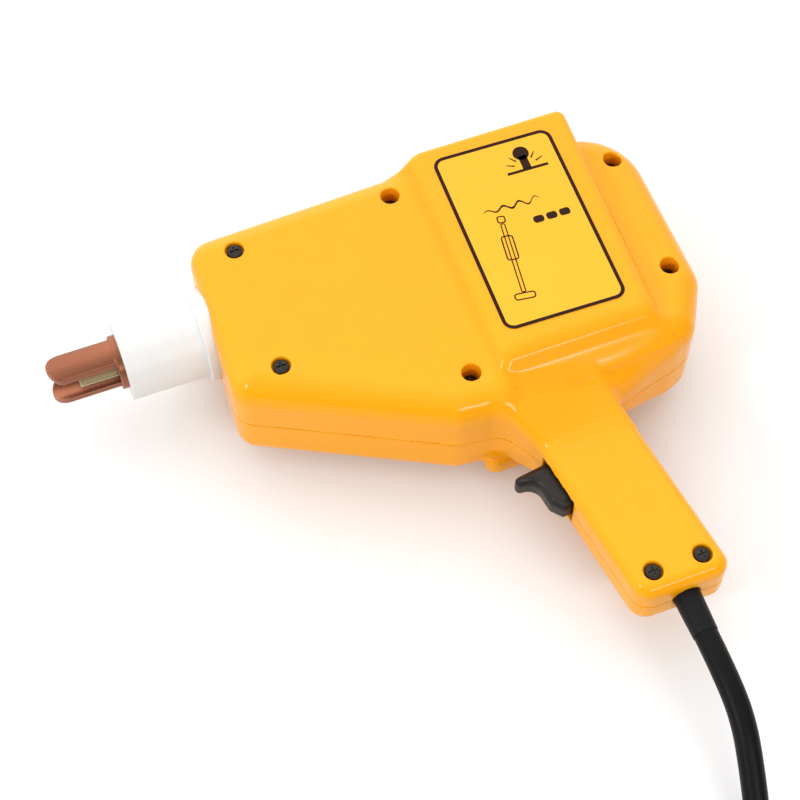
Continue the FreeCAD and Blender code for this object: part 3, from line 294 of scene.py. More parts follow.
def outline(x, y, corners):
    """Distance from a convex outline whose corners (x, y, radius) run clockwise."""
    spots = np.array([corner[:2] for corner in corners], float)
    along = np.roll(spots, -1, 0) - spots
    along /= np.linalg.norm(along, axis=1)[:, None]
    worst = -math.inf
    for number, (corner_x, corner_y, radius) in enumerate(corners):
        before = along[number - 1]
        after = along[number]
        right = x - corner_x
        up = y - corner_y
        wedge = np.maximum(up * before[0] - right * before[1], up * after[0] - right * after[1])
        if radius:
            normals = np.array([-before[1] - after[1], before[0] + after[0]])
            inset = radius * normals / (1 + before @ after)
            right = right + inset[0]
            up = up + inset[1]
            beyond = (right * before[0] + up * before[1] > 0) & (right * after[0] + up * after[1] < 0)
            wedge = np.where(beyond, np.hypot(right, up) - radius, wedge)
        worst = np.maximum(worst, wedge)
    return worst


def raked(x, y, origin, degrees):
    """Coordinates along and up in a frame turned about Z."""
    angle = math.radians(degrees)
    right = x - origin[0]
    up = y - origin[1]
    return (right * math.cos(angle) + up * math.sin(angle), up * math.cos(angle) - right * math.sin(angle))


TETRAHEDRON = np.array([(1, -1, -1), (-1, -1, 1), (-1, 1, -1), (1, 1, 1)], float)
CORNERS = [(i, j, k) for i in (0, 1) for j in (0, 1) for k in (0, 1)]
# How far off a slope is measured, and how far a point may move in each round, as shares of the grid step.
PROBE, MOST_MOVE = 0.02, 0.35
SETTLE_ROUNDS, LEAST_SLOPE = 3, 0.2


def slope(distance, spots, reach):
    """Gradient of a distance function at many points."""
    total = np.zeros_like(spots)
    for way in TETRAHEDRON:
        total += distance(*(spots + way * reach).T)[:, None] * way
    return total / (4 * reach)


def crossed_cells(values, inside):
    """Each crossed cell's number on the grid, and the mean of the places where its edges are cut."""
    shape = np.array(inside.shape) - 1
    held = sum(inside[i:i + shape[0], j:j + shape[1], k:k + shape[2]].astype(np.int8)
               for i, j, k in CORNERS)
    crossed = (held > 0) & (held < len(CORNERS))
    cells = np.argwhere(crossed)
    numbers = np.full(crossed.shape, -1, np.int32)
    numbers[crossed] = np.arange(len(cells))
    total = np.zeros((len(cells), 3))
    hits = np.zeros(len(cells))
    for start in CORNERS:
        for axis in range(3):
            if start[axis]:
                continue
            end = tuple(start[other] + (other == axis) for other in range(3))
            first = values[tuple((cells + start).T)]
            last = values[tuple((cells + end).T)]
            cut = (first < 0) != (last < 0)
            share = np.where(cut, first / np.where(cut, first - last, 1), 0)
            total += np.where(cut[:, None], np.array(start) + share[:, None] * (np.arange(3) == axis), 0)
            hits += cut
    return numbers, cells + total / hits[:, None]


def joined_cells(inside, numbers):
    """Four-sided faces that join the points of neighbouring cells."""
    faces = []
    for axis in range(3):
        trimmed = tuple(slice(0 if other == axis else 1, -1) for other in range(3))
        ahead = tuple(slice(1, None) if other == axis else slice(1, -1) for other in range(3))
        changes = inside[trimmed] != inside[ahead]
        edges = np.argwhere(changes) + [0 if other == axis else 1 for other in range(3)]
        leaving = inside[tuple(edges.T)]
        second = np.eye(3, dtype=int)[(axis + 1) % 3]
        third = np.eye(3, dtype=int)[(axis + 2) % 3]
        ring = np.stack([numbers[tuple((edges - shift).T)]
                         for shift in (0 * second, second, second + third, third)], axis=1)
        faces.append(np.where(leaving[:, None], ring, ring[:, ::-1]))
    return np.concatenate(faces)


def surface(name, distance, low, high, step, most=None):
    """Closed mesh where a distance function is zero: one point in each cell that it crosses."""
    axes = [np.arange(a - step, b + 2 * step, step) for a, b in zip(low, high)]
    values = distance(*np.meshgrid(*axes, indexing="ij", sparse=True))
    values = np.broadcast_to(values, [len(axis) for axis in axes]).astype(np.float32)
    inside = values < 0
    numbers, cuts = crossed_cells(values, inside)
    spots = np.array([axis[0] for axis in axes]) + cuts * step
    reach = step * PROBE
    for _ in range(SETTLE_ROUNDS):
        normal = slope(distance, spots, reach)
        steep = np.maximum(np.linalg.norm(normal, axis=1), LEAST_SLOPE)
        move = np.clip(distance(*spots.T) / steep, -MOST_MOVE * step, MOST_MOVE * step)
        spots -= normal * (move / steep)[:, None]
    return smooth_piece(name, distance, spots, joined_cells(inside, numbers), reach, most)


def smooth_piece(name, distance, spots, faces, reach, most):
    """Mesh with normals from its distance function, thinned to about so many triangles at most."""
    mesh = bpy.data.meshes.new(name)
    mesh.vertices.add(len(spots))
    mesh.vertices.foreach_set("co", (spots * MM).astype(np.float32).ravel())
    mesh.loops.add(faces.size)
    mesh.loops.foreach_set("vertex_index", faces.astype(np.int32).ravel())
    mesh.polygons.add(len(faces))
    mesh.polygons.foreach_set("loop_start", np.arange(0, faces.size, 4, dtype=np.int32))
    mesh.update(calc_edges=True)
    piece = add_object(name, mesh)
    if most and 2 * len(faces) > most:
        thin = piece.modifiers.new("thin", "DECIMATE")
        thin.ratio = most / (2 * len(faces))
        bpy.context.view_layer.update()
        held = piece.evaluated_get(bpy.context.evaluated_depsgraph_get())
        piece.data = bpy.data.meshes.new_from_object(held)
        piece.modifiers.clear()
        mesh = piece.data
    places = np.empty(len(mesh.vertices) * 3)
    mesh.vertices.foreach_get("co", places)
    normal = slope(distance, places.reshape(-1, 3) / MM, reach)
    normal /= np.maximum(np.linalg.norm(normal, axis=1), 1e-6)[:, None]
    mesh.shade_smooth()
    mesh.normals_split_custom_set_from_vertices(normal.tolist())
    return piece


# ---------------------------------------------------------------- housing

GRIP_FOOT_Y, RAMP_FOOT_Y = -218.7, -134
# Outlines seen from the left side: corners (x, y, radius), clockwise.
BODY = [(-163.4, 38.2, 12), (-25, 42.7, 60), (73.3, 26.5, 34), (73.3, -72, 18), (57.5, -100.5, 16),
        (12, -114.5, 0), (-70.5, -106, 14), (-168.1, -55.4, 12)]
GRIP = [(-42.3, -92, 0), (6.6, -92, 0), (24.7, GRIP_FOOT_Y, 8), (-23.6, GRIP_FOOT_Y, 10)]
RAMP = [(-60, -90, 0), (4, -86, 0), (12.6, RAMP_FOOT_Y, 0), (-32.3, RAMP_FOOT_Y, 0)]
RAMP_BELOW = [(-46.5, -88, 0), (4, -86, 0), (12.6, RAMP_FOOT_Y, 0), (-36.8, -128, 0)]
WEB = [(-56, -100, 0), (-36, -100, 0), (-36, -113.5, 0), (-56, -113.5, 6)]
BODY_HALF, GRIP_HALF, PAD_HALF = 32, 16, 42
BODY_EDGE, GRIP_EDGE, RAMP_EDGE, PAD_EDGE, PAD_FOOT = 14, 7, 6, 3.5, 4
RAMP_LONG, RAMP_RISE, RAMP_LEAN, RAMP_FRONT_X, RAMP_WIDE = 36, 14, 6, -45, 55
RAMP_COSINE, RAMP_JOIN, RAMP_FILLET = 0.88, 1.5, 5
SHOULDER_FRONT_X, SHOULDER_FADE, SHOULDER_EDGE = -36, 0.8, 5
WALL_LOW_Z, WALL_LOW_EDGE = 25, 2
WEB_LOW, WEB_HIGH, WEB_EDGE, WEB_FILLET = 12, 24, 3, 2
PAD_TOP_Y, PAD_LOW_Y, PAD_FRONT_X = 40.5, -87.5, -39.5
PAD_REAR_X, PAD_REAR_LEAN = 44.5, 0.0547
PAD_ROOT_X, PAD_ROOT_LEAN = 45, 0.0331
PAD_ROOT_FALL, PAD_FRONT_RUN, PAD_LOW_RUN, PAD_LOW_DEPTH = 18, 15, 17, 16
PAD_CORNER, PAD_LOW_CORNER = 5, 4
WALL = 3
SEAM, SEAM_EDGE = 0.03, 0.2
SHELL_LOW, SHELL_HIGH = (-170, -220), (75, 44)
SHELL_STEP, SHELL_MOST = 1.1, 190000
NOSE_SCREWS = [(-141.5, 22.5), (-141.5, -49.5)]
BODY_SCREWS = [(-56.5, 26), (-56.5, -86), (59.5, 7), (59.5, -63.5)]
GRIP_SCREWS = [(-13, -207.2), (12.3, -207.2)]
# Each set's node, places, the half thickness that it goes through, and its recess's depth.
SCREW_SETS = [
    ("nose_screws", NOSE_SCREWS, BODY_HALF, 3.5),
    ("body_screws", BODY_SCREWS, BODY_HALF, 12),
    ("grip_screws", GRIP_SCREWS, GRIP_HALF, 3.5),
]
POST_RADIUS, CUP_RADIUS, SCREW_HOLE, THREAD_FLOOR = 4.5, 7, 2.05, 6
RECESS_RADIUS, RECESS_RIM = 4.8, 0.7
PEG_X, PEG_Y, PEG_START = -1, (-66.5, 14.5), 20
BLOCK_X, BLOCK_Y, BLOCK_TALL, BLOCK_START = (-98, -93), (-30, 24), 6, 18
NOSE_BORE, NOSE_BORE_REAR_X = 23.75, -140
CORD_X, CORD_BORE, CORD_BORE_TOP_Y = 1, 6.95, -205
BORE_RIM = 0.6
TRIGGER_SPOT, GRIP_RAKE = (-33.9, -146), 8.1
SLOT_ALONG, SLOT_HIGH, SLOT_Z, SLOT_RIM = (-9, 3.5), (-13, 14.7), (32.5, 51.5), 0.5


def low_face(y, depth):
    """Distance past the pad's drafted low face at a depth under the pad's top."""
    draft = PAD_LOW_RUN / PAD_ROOT_FALL
    return (PAD_LOW_Y - depth * draft - y) / math.hypot(1, draft)


def pad_skin(x, y, z):
    """Raised pad over the transformer, with a sloping front and a face twisted at the back."""
    half = abs(z - MID_Z)
    depth = PAD_HALF - half
    fall = np.clip(depth / PAD_ROOT_FALL, 0, 1)
    from_top = PAD_TOP_Y - y
    face = PAD_REAR_X - PAD_REAR_LEAN * from_top
    root = PAD_ROOT_X + PAD_ROOT_LEAN * from_top
    rear = (x - face * (1 - fall) - root * fall) / np.hypot(1, (root - face) / PAD_ROOT_FALL)
    front = PAD_FRONT_X - depth * PAD_FRONT_RUN / PAD_ROOT_FALL - x
    front = front / math.hypot(1, PAD_FRONT_RUN / PAD_ROOT_FALL)
    low = low_face(y, np.minimum(depth, PAD_LOW_DEPTH))
    sides = rounded_and(rounded_and(y - PAD_TOP_Y, front, PAD_CORNER), low, PAD_LOW_CORNER)
    sides = rounded_and(sides, rear, PAD_CORNER)
    return rounded_and(sides, half - PAD_HALF, PAD_EDGE)


def skin(x, y, z):
    """Outer surface of the whole housing."""
    half = abs(z - MID_Z)
    body = rounded_and(outline(x, y, BODY), half - BODY_HALF, BODY_EDGE)
    shoulder = low_face(y, PAD_HALF - half) - SHOULDER_FADE * np.maximum(SHOULDER_FRONT_X - x, 0)
    body = rounded_and(body, shoulder, SHOULDER_EDGE)
    grip = rounded_and(outline(x, y, GRIP), half - GRIP_HALF, GRIP_EDGE)
    climb = np.clip((y - RAMP_FOOT_Y) / RAMP_LONG, 0, 1)
    climb = climb * climb * (3 - 2 * climb)
    rise = RAMP_RISE - RAMP_LEAN * np.clip((x - RAMP_FRONT_X) / RAMP_WIDE, 0, 1)
    over = (half - GRIP_HALF - rise * climb) * RAMP_COSINE
    ramp = rounded_and(outline(x, y, RAMP), over, RAMP_EDGE)
    ramp = rounded_and(ramp, WALL_LOW_Z - z, WALL_LOW_EDGE)
    below = np.maximum(rounded_and(outline(x, y, RAMP_BELOW), over, RAMP_EDGE), z - MID_Z)
    grip = rounded_or(grip, np.minimum(ramp, below), RAMP_JOIN)
    whole = rounded_or(body, grip, RAMP_FILLET)
    web = rounded_and(outline(x, y, WEB), span(z, WEB_LOW, WEB_HIGH), WEB_EDGE)
    whole = rounded_or(whole, web, WEB_FILLET)
    return rounded_or(whole, pad_skin(x, y, z), PAD_FOOT)


def screw_posts(solid, outer, x, y, up, left):
    """Posts under the screws: bored through and recessed in the left half, blind in the right one."""
    for _, spots, half, recess in SCREW_SETS:
        for spot_x, spot_y in spots:
            away = np.hypot(x - spot_x, y - spot_y)
            post = np.maximum(away - POST_RADIUS, outer)
            if left:
                cup = np.maximum(np.maximum(away - CUP_RADIUS, half - recess - WALL - up), outer)
                solid = np.minimum(solid, np.minimum(post, cup))
                solid = np.maximum(solid, SCREW_HOLE - away)
                hollow = np.maximum(away - RECESS_RADIUS, half - recess - up)
                solid = carved(solid, hollow, RECESS_RIM)
            else:
                blind = np.maximum(away - SCREW_HOLE, up - half + THREAD_FLOOR)
                solid = carved(np.minimum(solid, post), blind)
    return solid


def inner_rests(solid, outer, x, y, up):
    """Pegs that the transformer rests on and blocks that hold the nose."""
    for rest_y in PEG_Y:
        peg = np.maximum(rod(x - PEG_X, y - rest_y, POST_RADIUS), np.maximum(PEG_START - up, outer))
        solid = np.minimum(solid, peg)
    for rest_y in BLOCK_Y:
        block = np.maximum(span(y, rest_y, rest_y + BLOCK_TALL), BLOCK_START - up)
        block = np.maximum(span(x, *BLOCK_X), block)
        solid = np.minimum(solid, np.maximum(block, outer))
    return solid


def shell_half(left):
    """Distance function of one half shell."""
    side = 1 if left else -1

    def shell(x, y, z):
        outer = skin(x, y, z)
        solid = np.maximum(outer, -(outer + WALL))
        up = side * (z - MID_Z)
        solid = screw_posts(solid, outer, x, y, up, left)
        solid = inner_rests(solid, outer, x, y, up)
        nose_hole = np.maximum(rod(y, z - MID_Z, NOSE_BORE), x - NOSE_BORE_REAR_X)
        solid = carved(solid, nose_hole, BORE_RIM)
        cord_hole = np.maximum(rod(x - CORD_X, z - MID_Z, CORD_BORE), y - CORD_BORE_TOP_Y)
        solid = carved(solid, cord_hole, BORE_RIM)
        along, high = raked(x, y, TRIGGER_SPOT, GRIP_RAKE)
        slot = np.maximum(span(high, *SLOT_HIGH), span(z, *SLOT_Z))
        solid = carved(solid, np.maximum(span(along, *SLOT_ALONG), slot), SLOT_RIM)
        return rounded_and(solid, SEAM - up, SEAM_EDGE)

    return shell


def housing():
    top = MID_Z + PAD_HALF
    for name, node, left, levels in (("housing_left", "left_shell", True, (MID_Z, top)),
                                     ("housing_right", "right_shell", False, (0, MID_Z))):
        piece = surface(name, shell_half(left), (*SHELL_LOW, levels[0]), (*SHELL_HIGH, levels[1]),
                        SHELL_STEP, most=SHELL_MOST)
        settle_piece(piece, "root", "yellow_plastic", node)


# ---------------------------------------------------------------- trigger and screws

TRIGGER_TOP, TRIGGER_LOW = 14.2, -12.5
TRIGGER_BLOCK = [(-8.6, TRIGGER_TOP, 1.5), (5, TRIGGER_TOP, 0), (5, TRIGGER_LOW, 0), (-4.5, TRIGGER_LOW, 2),
                 (-8.6, -6, 4)]
TRIGGER_Z, TRIGGER_EDGE, TRIGGER_BACK = (35, 49.5), 5, 4
HOOK_ROOT, HOOK_LONG, HOOK_RISE, HOOK_RADIUS, HOOK_FILLET = (-4, 10.9), 10.8, 0.5, 2.75, 7
LIP_ALONG, LIP_HIGH, LIP_Z = (3.5, 5.5), (-14.7, 16.4), (31, 53)
TRIGGER_STEP, SCREW_STEP = 0.45, 0.3
HEAD_RADIUS, HEAD_TALL, DOME_RADIUS, DOME_DROP = 4, 3, 10.2, 7.2
CROSS_LONG, CROSS_HALF, CROSS_DEEP, CROSS_TAPER = 2.3, 0.5, 1.5, 0.25
SHANK_RADIUS, SHANK_OVER, SHANK_CLEAR = 1.6, 0.3, 7
THREAD_PITCH, THREAD_DEEP = 1.4, 0.28


def trigger_shape(x, y, z):
    """Hooked trigger with a hollow for the finger, its edges rounded, and the lip that keeps it in."""
    along, high = raked(x, y, TRIGGER_SPOT, GRIP_RAKE)
    block = outline(along, high, TRIGGER_BLOCK)
    share = np.clip((HOOK_ROOT[0] - along) / HOOK_LONG, 0, 1)
    forward = along - HOOK_ROOT[0] + HOOK_LONG * share
    hook = rod(forward, high - HOOK_ROOT[1] - HOOK_RISE * share, HOOK_RADIUS)
    side = np.maximum(rounded_or(block, hook, HOOK_FILLET), high - TRIGGER_TOP)
    solid = rounded_and(side, span(z, *TRIGGER_Z), TRIGGER_EDGE)
    lip = np.maximum(span(along, *LIP_ALONG), np.maximum(span(high, *LIP_HIGH), span(z, *LIP_Z)))
    return np.minimum(np.maximum(solid, along - TRIGGER_BACK), lip)


def screw_head(x, y, z):
    """Pan head with a cross recess, seated on z = 0."""
    away = np.hypot(x, y)
    dome = rod(away, z + DOME_DROP, DOME_RADIUS)
    head = rounded_and(rounded_and(away - HEAD_RADIUS, dome, 0.5), -z, 0.3)
    one = np.maximum(abs(x) - CROSS_HALF, abs(y) - CROSS_LONG)
    other = np.maximum(abs(y) - CROSS_HALF, abs(x) - CROSS_LONG)
    floor = CROSS_DEEP + CROSS_TAPER * away - z
    return carved(head, np.maximum(np.minimum(one, other) - 0.1, floor), 0.15)


def screw_shank(x, y, z, long):
    """Threaded shank below z = 0."""
    turn = np.arctan2(y, x) / (2 * math.pi)
    ridge = THREAD_DEEP * abs(((z / THREAD_PITCH + turn) % 1.0) * 2 - 1)
    return np.maximum(np.hypot(x, y) - SHANK_RADIUS - ridge, np.maximum(z - SHANK_OVER, -z - long))


def copies(piece, shifts):
    """Turn a piece's mesh into that mesh repeated at several places."""
    joined = bmesh.new()
    for shift in shifts:
        before = len(joined.verts)
        joined.from_mesh(piece.data)
        joined.verts.ensure_lookup_table()
        bmesh.ops.translate(joined, vec=shift, verts=joined.verts[before:])
    joined.to_mesh(piece.data)
    joined.free()


def trigger():
    piece = surface("trigger_moulding", trigger_shape, (-56, -164, LIP_Z[0]), (-24, -127, LIP_Z[1]),
                    TRIGGER_STEP)
    settle_piece(piece, "trigger_group", "trigger_plastic", "trigger")


def screws():
    for node, spots, half, recess in SCREW_SETS:
        seat = MID_Z + half - recess
        long = 2 * half - recess - SHANK_CLEAR

        def screw(x, y, z):
            return np.minimum(screw_head(x, y, z), screw_shank(x, y, z, long))

        piece = surface(node + "_detailed", screw, (-HEAD_RADIUS, -HEAD_RADIUS, -long),
                        (HEAD_RADIUS, HEAD_RADIUS, HEAD_TALL), SCREW_STEP)
        copies(piece, [metres(x, y, seat) for x, y in spots])
        settle_piece(piece, "root", "black_screws", node)


# ---------------------------------------------------------------- nose

FORK_TIP_X, FORK_ROOT_X, FORK_REAR_X, FORK_RADIUS, FORK_BORE = -249.2, -215.2, -126, 14, 8
PRONG_DIA, PRONG_WIDE, PRONG_REAR_X, MOUTH_DIA, MOUTH_REAR_X = 27, 15.6, -200, 20, -212
COLLET_TIP_X, COLLET_REAR_X, COLLET_RADIUS = -235, -190, 7
STUD_BORE, STUD_BORE_END_X, ROD_BORE, ROD_BORE_START_X = 1.6, -213, 4.05, -202
SLIT_HALF, SLIT_END_X = 0.4, -208
FORK_STEP, COLLET_STEP = 0.6, 0.35
# Points (x, radius, rounding) of the insulating sleeve and its collar.
SLEEVE = [(-211.7, 14.05, 0), (-211.7, 14.4, 0), (-211.7, 20.8, 0.8), (-171, 20.8, 0.4), (-171, 23.65, 0.8),
          (-159, 23.65, 0.3), (-159, 27, 0.4), (-155, 27, 0.4), (-155, 20.8, 0.3), (-148, 20.8, 0.8),
          (-148, 14.05, 0.4), (-211.7, 14.05, 0)]
ROUND_PARTS = 6
SAME_PLACE, NO_LENGTH = 1e-7, 1e-8
SHARP_DEGREES = 40


def fork_shape(x, y, z):
    """Earth tube that ends in two strips with round tips, one above the collet and one below."""
    barrel = np.hypot(y, z - MID_Z)
    tube = rounded_and(barrel - FORK_RADIUS, span(x, FORK_ROOT_X, FORK_REAR_X), 0.6)
    tongue = rod(np.minimum(x - FORK_TIP_X - PRONG_WIDE / 2, 0), y, PRONG_WIDE / 2)
    prongs = rounded_and(rounded_and(barrel - PRONG_DIA / 2, tongue, 0.7), x - PRONG_REAR_X, 0.2)
    solid = rounded_or(tube, prongs, 0.4)
    solid = carved(solid, barrel - FORK_BORE, 0.4)
    return carved(solid, rounded_and(barrel - MOUTH_DIA / 2, x - MOUTH_REAR_X, 0.5), 0.4)


def collet_shape(x, y, z):
    """Split collet that holds the stud."""
    up = z - MID_Z
    barrel = np.hypot(y, up)
    solid = rounded_and(barrel - COLLET_RADIUS, span(x, COLLET_TIP_X, COLLET_REAR_X), 0.5)
    solid = carved(solid, np.maximum(barrel - STUD_BORE, x - STUD_BORE_END_X), 0.3)
    solid = carved(solid, np.maximum(barrel - ROD_BORE, ROD_BORE_START_X - x), 0.3)
    return carved(solid, np.maximum(abs(up) - SLIT_HALF, x - SLIT_END_X), 0.25)


def turned_piece(name, profile, place, along, segments):
    """Lathe-turned piece: profile points (along, radius, rounding) from one end to the other."""
    points = []
    for number, (reach, radius, round_off) in enumerate(profile):
        here = np.array([reach, radius], float)
        if not round_off or number in (0, len(profile) - 1):
            points.append(here)
            continue
        back = np.array(profile[number - 1][:2]) - here
        ahead = np.array(profile[number + 1][:2]) - here
        first = here + back / np.linalg.norm(back) * round_off
        last = here + ahead / np.linalg.norm(ahead) * round_off
        for step in range(ROUND_PARTS + 1):
            t = step / ROUND_PARTS
            points.append((1 - t) ** 2 * first + 2 * t * (1 - t) * here + t * t * last)
    points = np.array(points)
    around = np.linspace(0, 2 * math.pi, segments, endpoint=False)
    frame_x = Vector(along).normalized()
    frame_y = frame_x.orthogonal().normalized()
    frame_z = frame_x.cross(frame_y)
    spots = []
    for reach, radius in points:
        for angle in around:
            side = frame_y * math.cos(angle) + frame_z * math.sin(angle)
            spots.append(metres(*place) + (frame_x * reach + side * radius) * MM)
    faces = []
    for row in range(len(points) - 1):
        for column in range(segments):
            after = (column + 1) % segments
            faces.append((row * segments + column, row * segments + after,
                          (row + 1) * segments + after, (row + 1) * segments + column))
    piece = plain_mesh(name, spots, faces)
    made = bmesh.new()
    made.from_mesh(piece.data)
    bmesh.ops.remove_doubles(made, verts=made.verts, dist=SAME_PLACE)
    bmesh.ops.dissolve_degenerate(made, edges=made.edges, dist=NO_LENGTH)
    bmesh.ops.recalc_face_normals(made, faces=made.faces)
    made.to_mesh(piece.data)
    made.free()
    piece.data.shade_smooth()
    piece.data.set_sharp_from_angle(angle=math.radians(SHARP_DEGREES))
    return piece


def nose():
    low, high = MID_Z - FORK_RADIUS, MID_Z + FORK_RADIUS
    fork = surface("earth_fork_detailed", fork_shape, (FORK_TIP_X, -FORK_RADIUS, low),
                   (FORK_REAR_X, FORK_RADIUS, high), FORK_STEP)
    settle_piece(fork, "root", "copper", "ground_fork")
    low, high = MID_Z - COLLET_RADIUS, MID_Z + COLLET_RADIUS
    collet = surface("stud_collet_detailed", collet_shape, (COLLET_TIP_X, -COLLET_RADIUS, low),
                     (COLLET_REAR_X, COLLET_RADIUS, high), COLLET_STEP)
    settle_piece(collet, "electrode", "brass", "stud_collet")
    sleeve = turned_piece("nose_insulator_turned", SLEEVE, (0, 0, MID_Z), (1, 0, 0), 128)
    settle_piece(sleeve, "root", "white_insulator", "nose_insulator")


# ---------------------------------------------------------------- springs

WIRE_SIDES, TURN_STEPS = 12, 28
# Each spring's node, body, joint, direction, wire diameter, turns and stroke.
SPRINGS = [
    ("electrode_spring", "root", "electrode_slide", Vector((1, 0, 0)), 1.4, 6, 8),
    ("trigger_spring", "root", "trigger_slide", Vector((0.99002, 0.1409, 0)), 1.2, 2.5, 5),
]


def spring(node, body, joint, along, wire, turns, stroke):
    """Round-wire compression spring in the place of its CAD node."""
    low, high = (Vector(corner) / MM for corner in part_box(node))
    middle = (low + high) / 2
    dia = high.z - low.z
    long = (high.x - low.x - dia * abs(along.y)) / along.x
    side = Vector((-along.y, along.x, 0))
    up = Vector((0, 0, 1))
    around = WIRE_SIDES
    steps = int(turns * TURN_STEPS)
    spots = []
    for step in range(steps + 1):
        share = step / steps
        angle = 2 * math.pi * turns * share
        out = side * math.cos(angle) + up * math.sin(angle)
        centre = middle + along * ((long - wire) * (share - 0.5)) + out * (dia - wire) / 2
        for corner in range(around):
            turn = 2 * math.pi * corner / around
            spots.append((centre + (out * math.cos(turn) + along * math.sin(turn)) * wire / 2) * MM)
    faces = []
    for step in range(steps):
        for corner in range(around):
            after = (corner + 1) % around
            faces.append((step * around + corner, (step + 1) * around + corner,
                          (step + 1) * around + after, step * around + after))
    faces.append(tuple(range(around)))
    faces.append(tuple(steps * around + corner for corner in reversed(range(around))))
    piece = plain_mesh(node + "_wire", spots, faces)
    piece.data.shade_smooth()
    settle_piece(piece, body, "spring_steel", node)
    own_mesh(piece)


def springs():
    for numbers in SPRINGS:
        spring(*numbers)


# ---------------------------------------------------------------- label

LABEL_SPOT, LABEL_TILT = (-1.4, -23), -1.5
LABEL_TOP = MID_Z + PAD_HALF
FILM_THICK, INK_THICK = 0.25, 0.07
LABEL_BOX, BORDER_LINE = (64, 108.5, 6), 1.9
CORNER_STEPS = 8
WAVE_STEPS, WAVE_HALVES, WAVE_TALL = 60, 7, 1.9
BLOCK_BOX, BLOCK_SPOT, BLOCK_APART = (5.6, 4.2, 1.6), (7, 2.5), 7
HAMMER_X, HAMMER_PIVOT, HAMMER_TILT = -14, (-14, -20), -6
# Width, height, corner radius, line and level of the slide hammer's rod, weight, handle and hook.
HAMMER = [(2.6, 42, 1.2, 0.6, -15), (6.4, 15, 1.8, 0.7, -9), (11, 4.2, 1.8, 0.7, -38),
          (4.4, 4.4, 1.2, 0.7, 8.4)]


def rounded_box(wide, tall, radius, place=(0, 0)):
    """Points round a rectangle with round corners, anticlockwise."""
    points = []
    for quarter in range(4):
        centre_x = (wide / 2 - radius) * (1 if quarter in (0, 3) else -1)
        centre_y = (tall / 2 - radius) * (1 if quarter < 2 else -1)
        for step in range(CORNER_STEPS + 1):
            angle = math.pi / 2 * (quarter + step / CORNER_STEPS)
            points.append((place[0] + centre_x + radius * math.cos(angle),
                           place[1] + centre_y + radius * math.sin(angle)))
    return points


def on_label(u, v, height):
    """Place on the label: u across it, v up it, height above the pad, in metres."""
    angle = math.radians(LABEL_TILT)
    x = LABEL_SPOT[0] + u * math.cos(angle) - v * math.sin(angle)
    y = LABEL_SPOT[1] + u * math.sin(angle) + v * math.cos(angle)
    return metres(x, y, LABEL_TOP + height)


def film(name, loops, low, high):
    """Thin plates between two heights, each from its outline and its hole's, or None without a hole."""
    made = bmesh.new()
    for outer, inner in loops:
        levels = [[made.verts.new(on_label(u, v, level)) for u, v in outer] for level in (low, high)]
        count = len(outer)
        for number in range(count):
            after = (number + 1) % count
            made.faces.new((levels[0][number], levels[0][after], levels[1][after], levels[1][number]))
        if inner:
            holes = [[made.verts.new(on_label(u, v, level)) for u, v in inner] for level in (low, high)]
            for number in range(count):
                after = (number + 1) % count
                made.faces.new((holes[0][after], holes[0][number], holes[1][number], holes[1][after]))
                made.faces.new((levels[1][number], levels[1][after], holes[1][after], holes[1][number]))
                made.faces.new((levels[0][after], levels[0][number], holes[0][number], holes[0][after]))
        else:
            made.faces.new(levels[1])
            made.faces.new(levels[0][::-1])
    mesh = bpy.data.meshes.new(name)
    made.to_mesh(mesh)
    made.free()
    return add_object(name, mesh)


def bar(start, end, wide, end_wide=None):
    """Outline of a straight bar from one point to another."""
    start = np.array(start, float)
    end = np.array(end, float)
    along = (end - start) / np.linalg.norm(end - start)
    side = np.array([-along[1], along[0]]) / 2
    end_wide = wide if end_wide is None else end_wide
    return [tuple(start - side * wide), tuple(end - side * end_wide),
            tuple(end + side * end_wide), tuple(start + side * wide)]


def ring_of(wide, tall, radius, line, place=(0, 0)):
    """Outlines of a rounded frame: its outside and, a line's width in, its hole."""
    hole = rounded_box(wide - 2 * line, tall - 2 * line, max(radius - line, 0.3), place)
    return rounded_box(wide, tall, radius, place), hole


def tilted(points, degrees, about):
    """Points turned about a place by so many degrees."""
    cosine = math.cos(math.radians(degrees))
    sine = math.sin(math.radians(degrees))
    return [(about[0] + (u - about[0]) * cosine - (v - about[1]) * sine,
             about[1] + (u - about[0]) * sine + (v - about[1]) * cosine) for u, v in points]


def stud_drawing(foot):
    """A ball-headed stud that stands on a plate, with short rays round its foot."""
    u, v = foot
    shapes = [(bar((u - 11, v), (u + 11, v), 1.6), None),
              (rounded_box(4.4, 8.5, 0.6, (u, v + 4.6)), None),
              (rounded_box(8.4, 8.4, 4.1, (u, v + 10.5)), None)]
    for degrees in (22, 50, 130, 158):
        way = np.array([math.cos(math.radians(degrees)), math.sin(math.radians(degrees))])
        near = np.array([u, v + 1.5]) + way * 6.2
        shapes.append((bar(near, near + way * 4.4, 0.9, 0.4), None))
    return shapes


def wave_drawing(middle, long):
    """A wavy line, thicker at its middle."""
    upper = []
    lower = []
    for step in range(WAVE_STEPS + 1):
        share = step / WAVE_STEPS
        u = middle[0] + (share - 0.5) * long
        v = middle[1] + WAVE_TALL * math.sin(share * math.pi * WAVE_HALVES) * (0.5 + 0.5 * share)
        half = 0.2 + 0.45 * math.sin(share * math.pi)
        upper.append((u, v + half))
        lower.append((u, v - half))
    return [(lower + upper[::-1], None)]


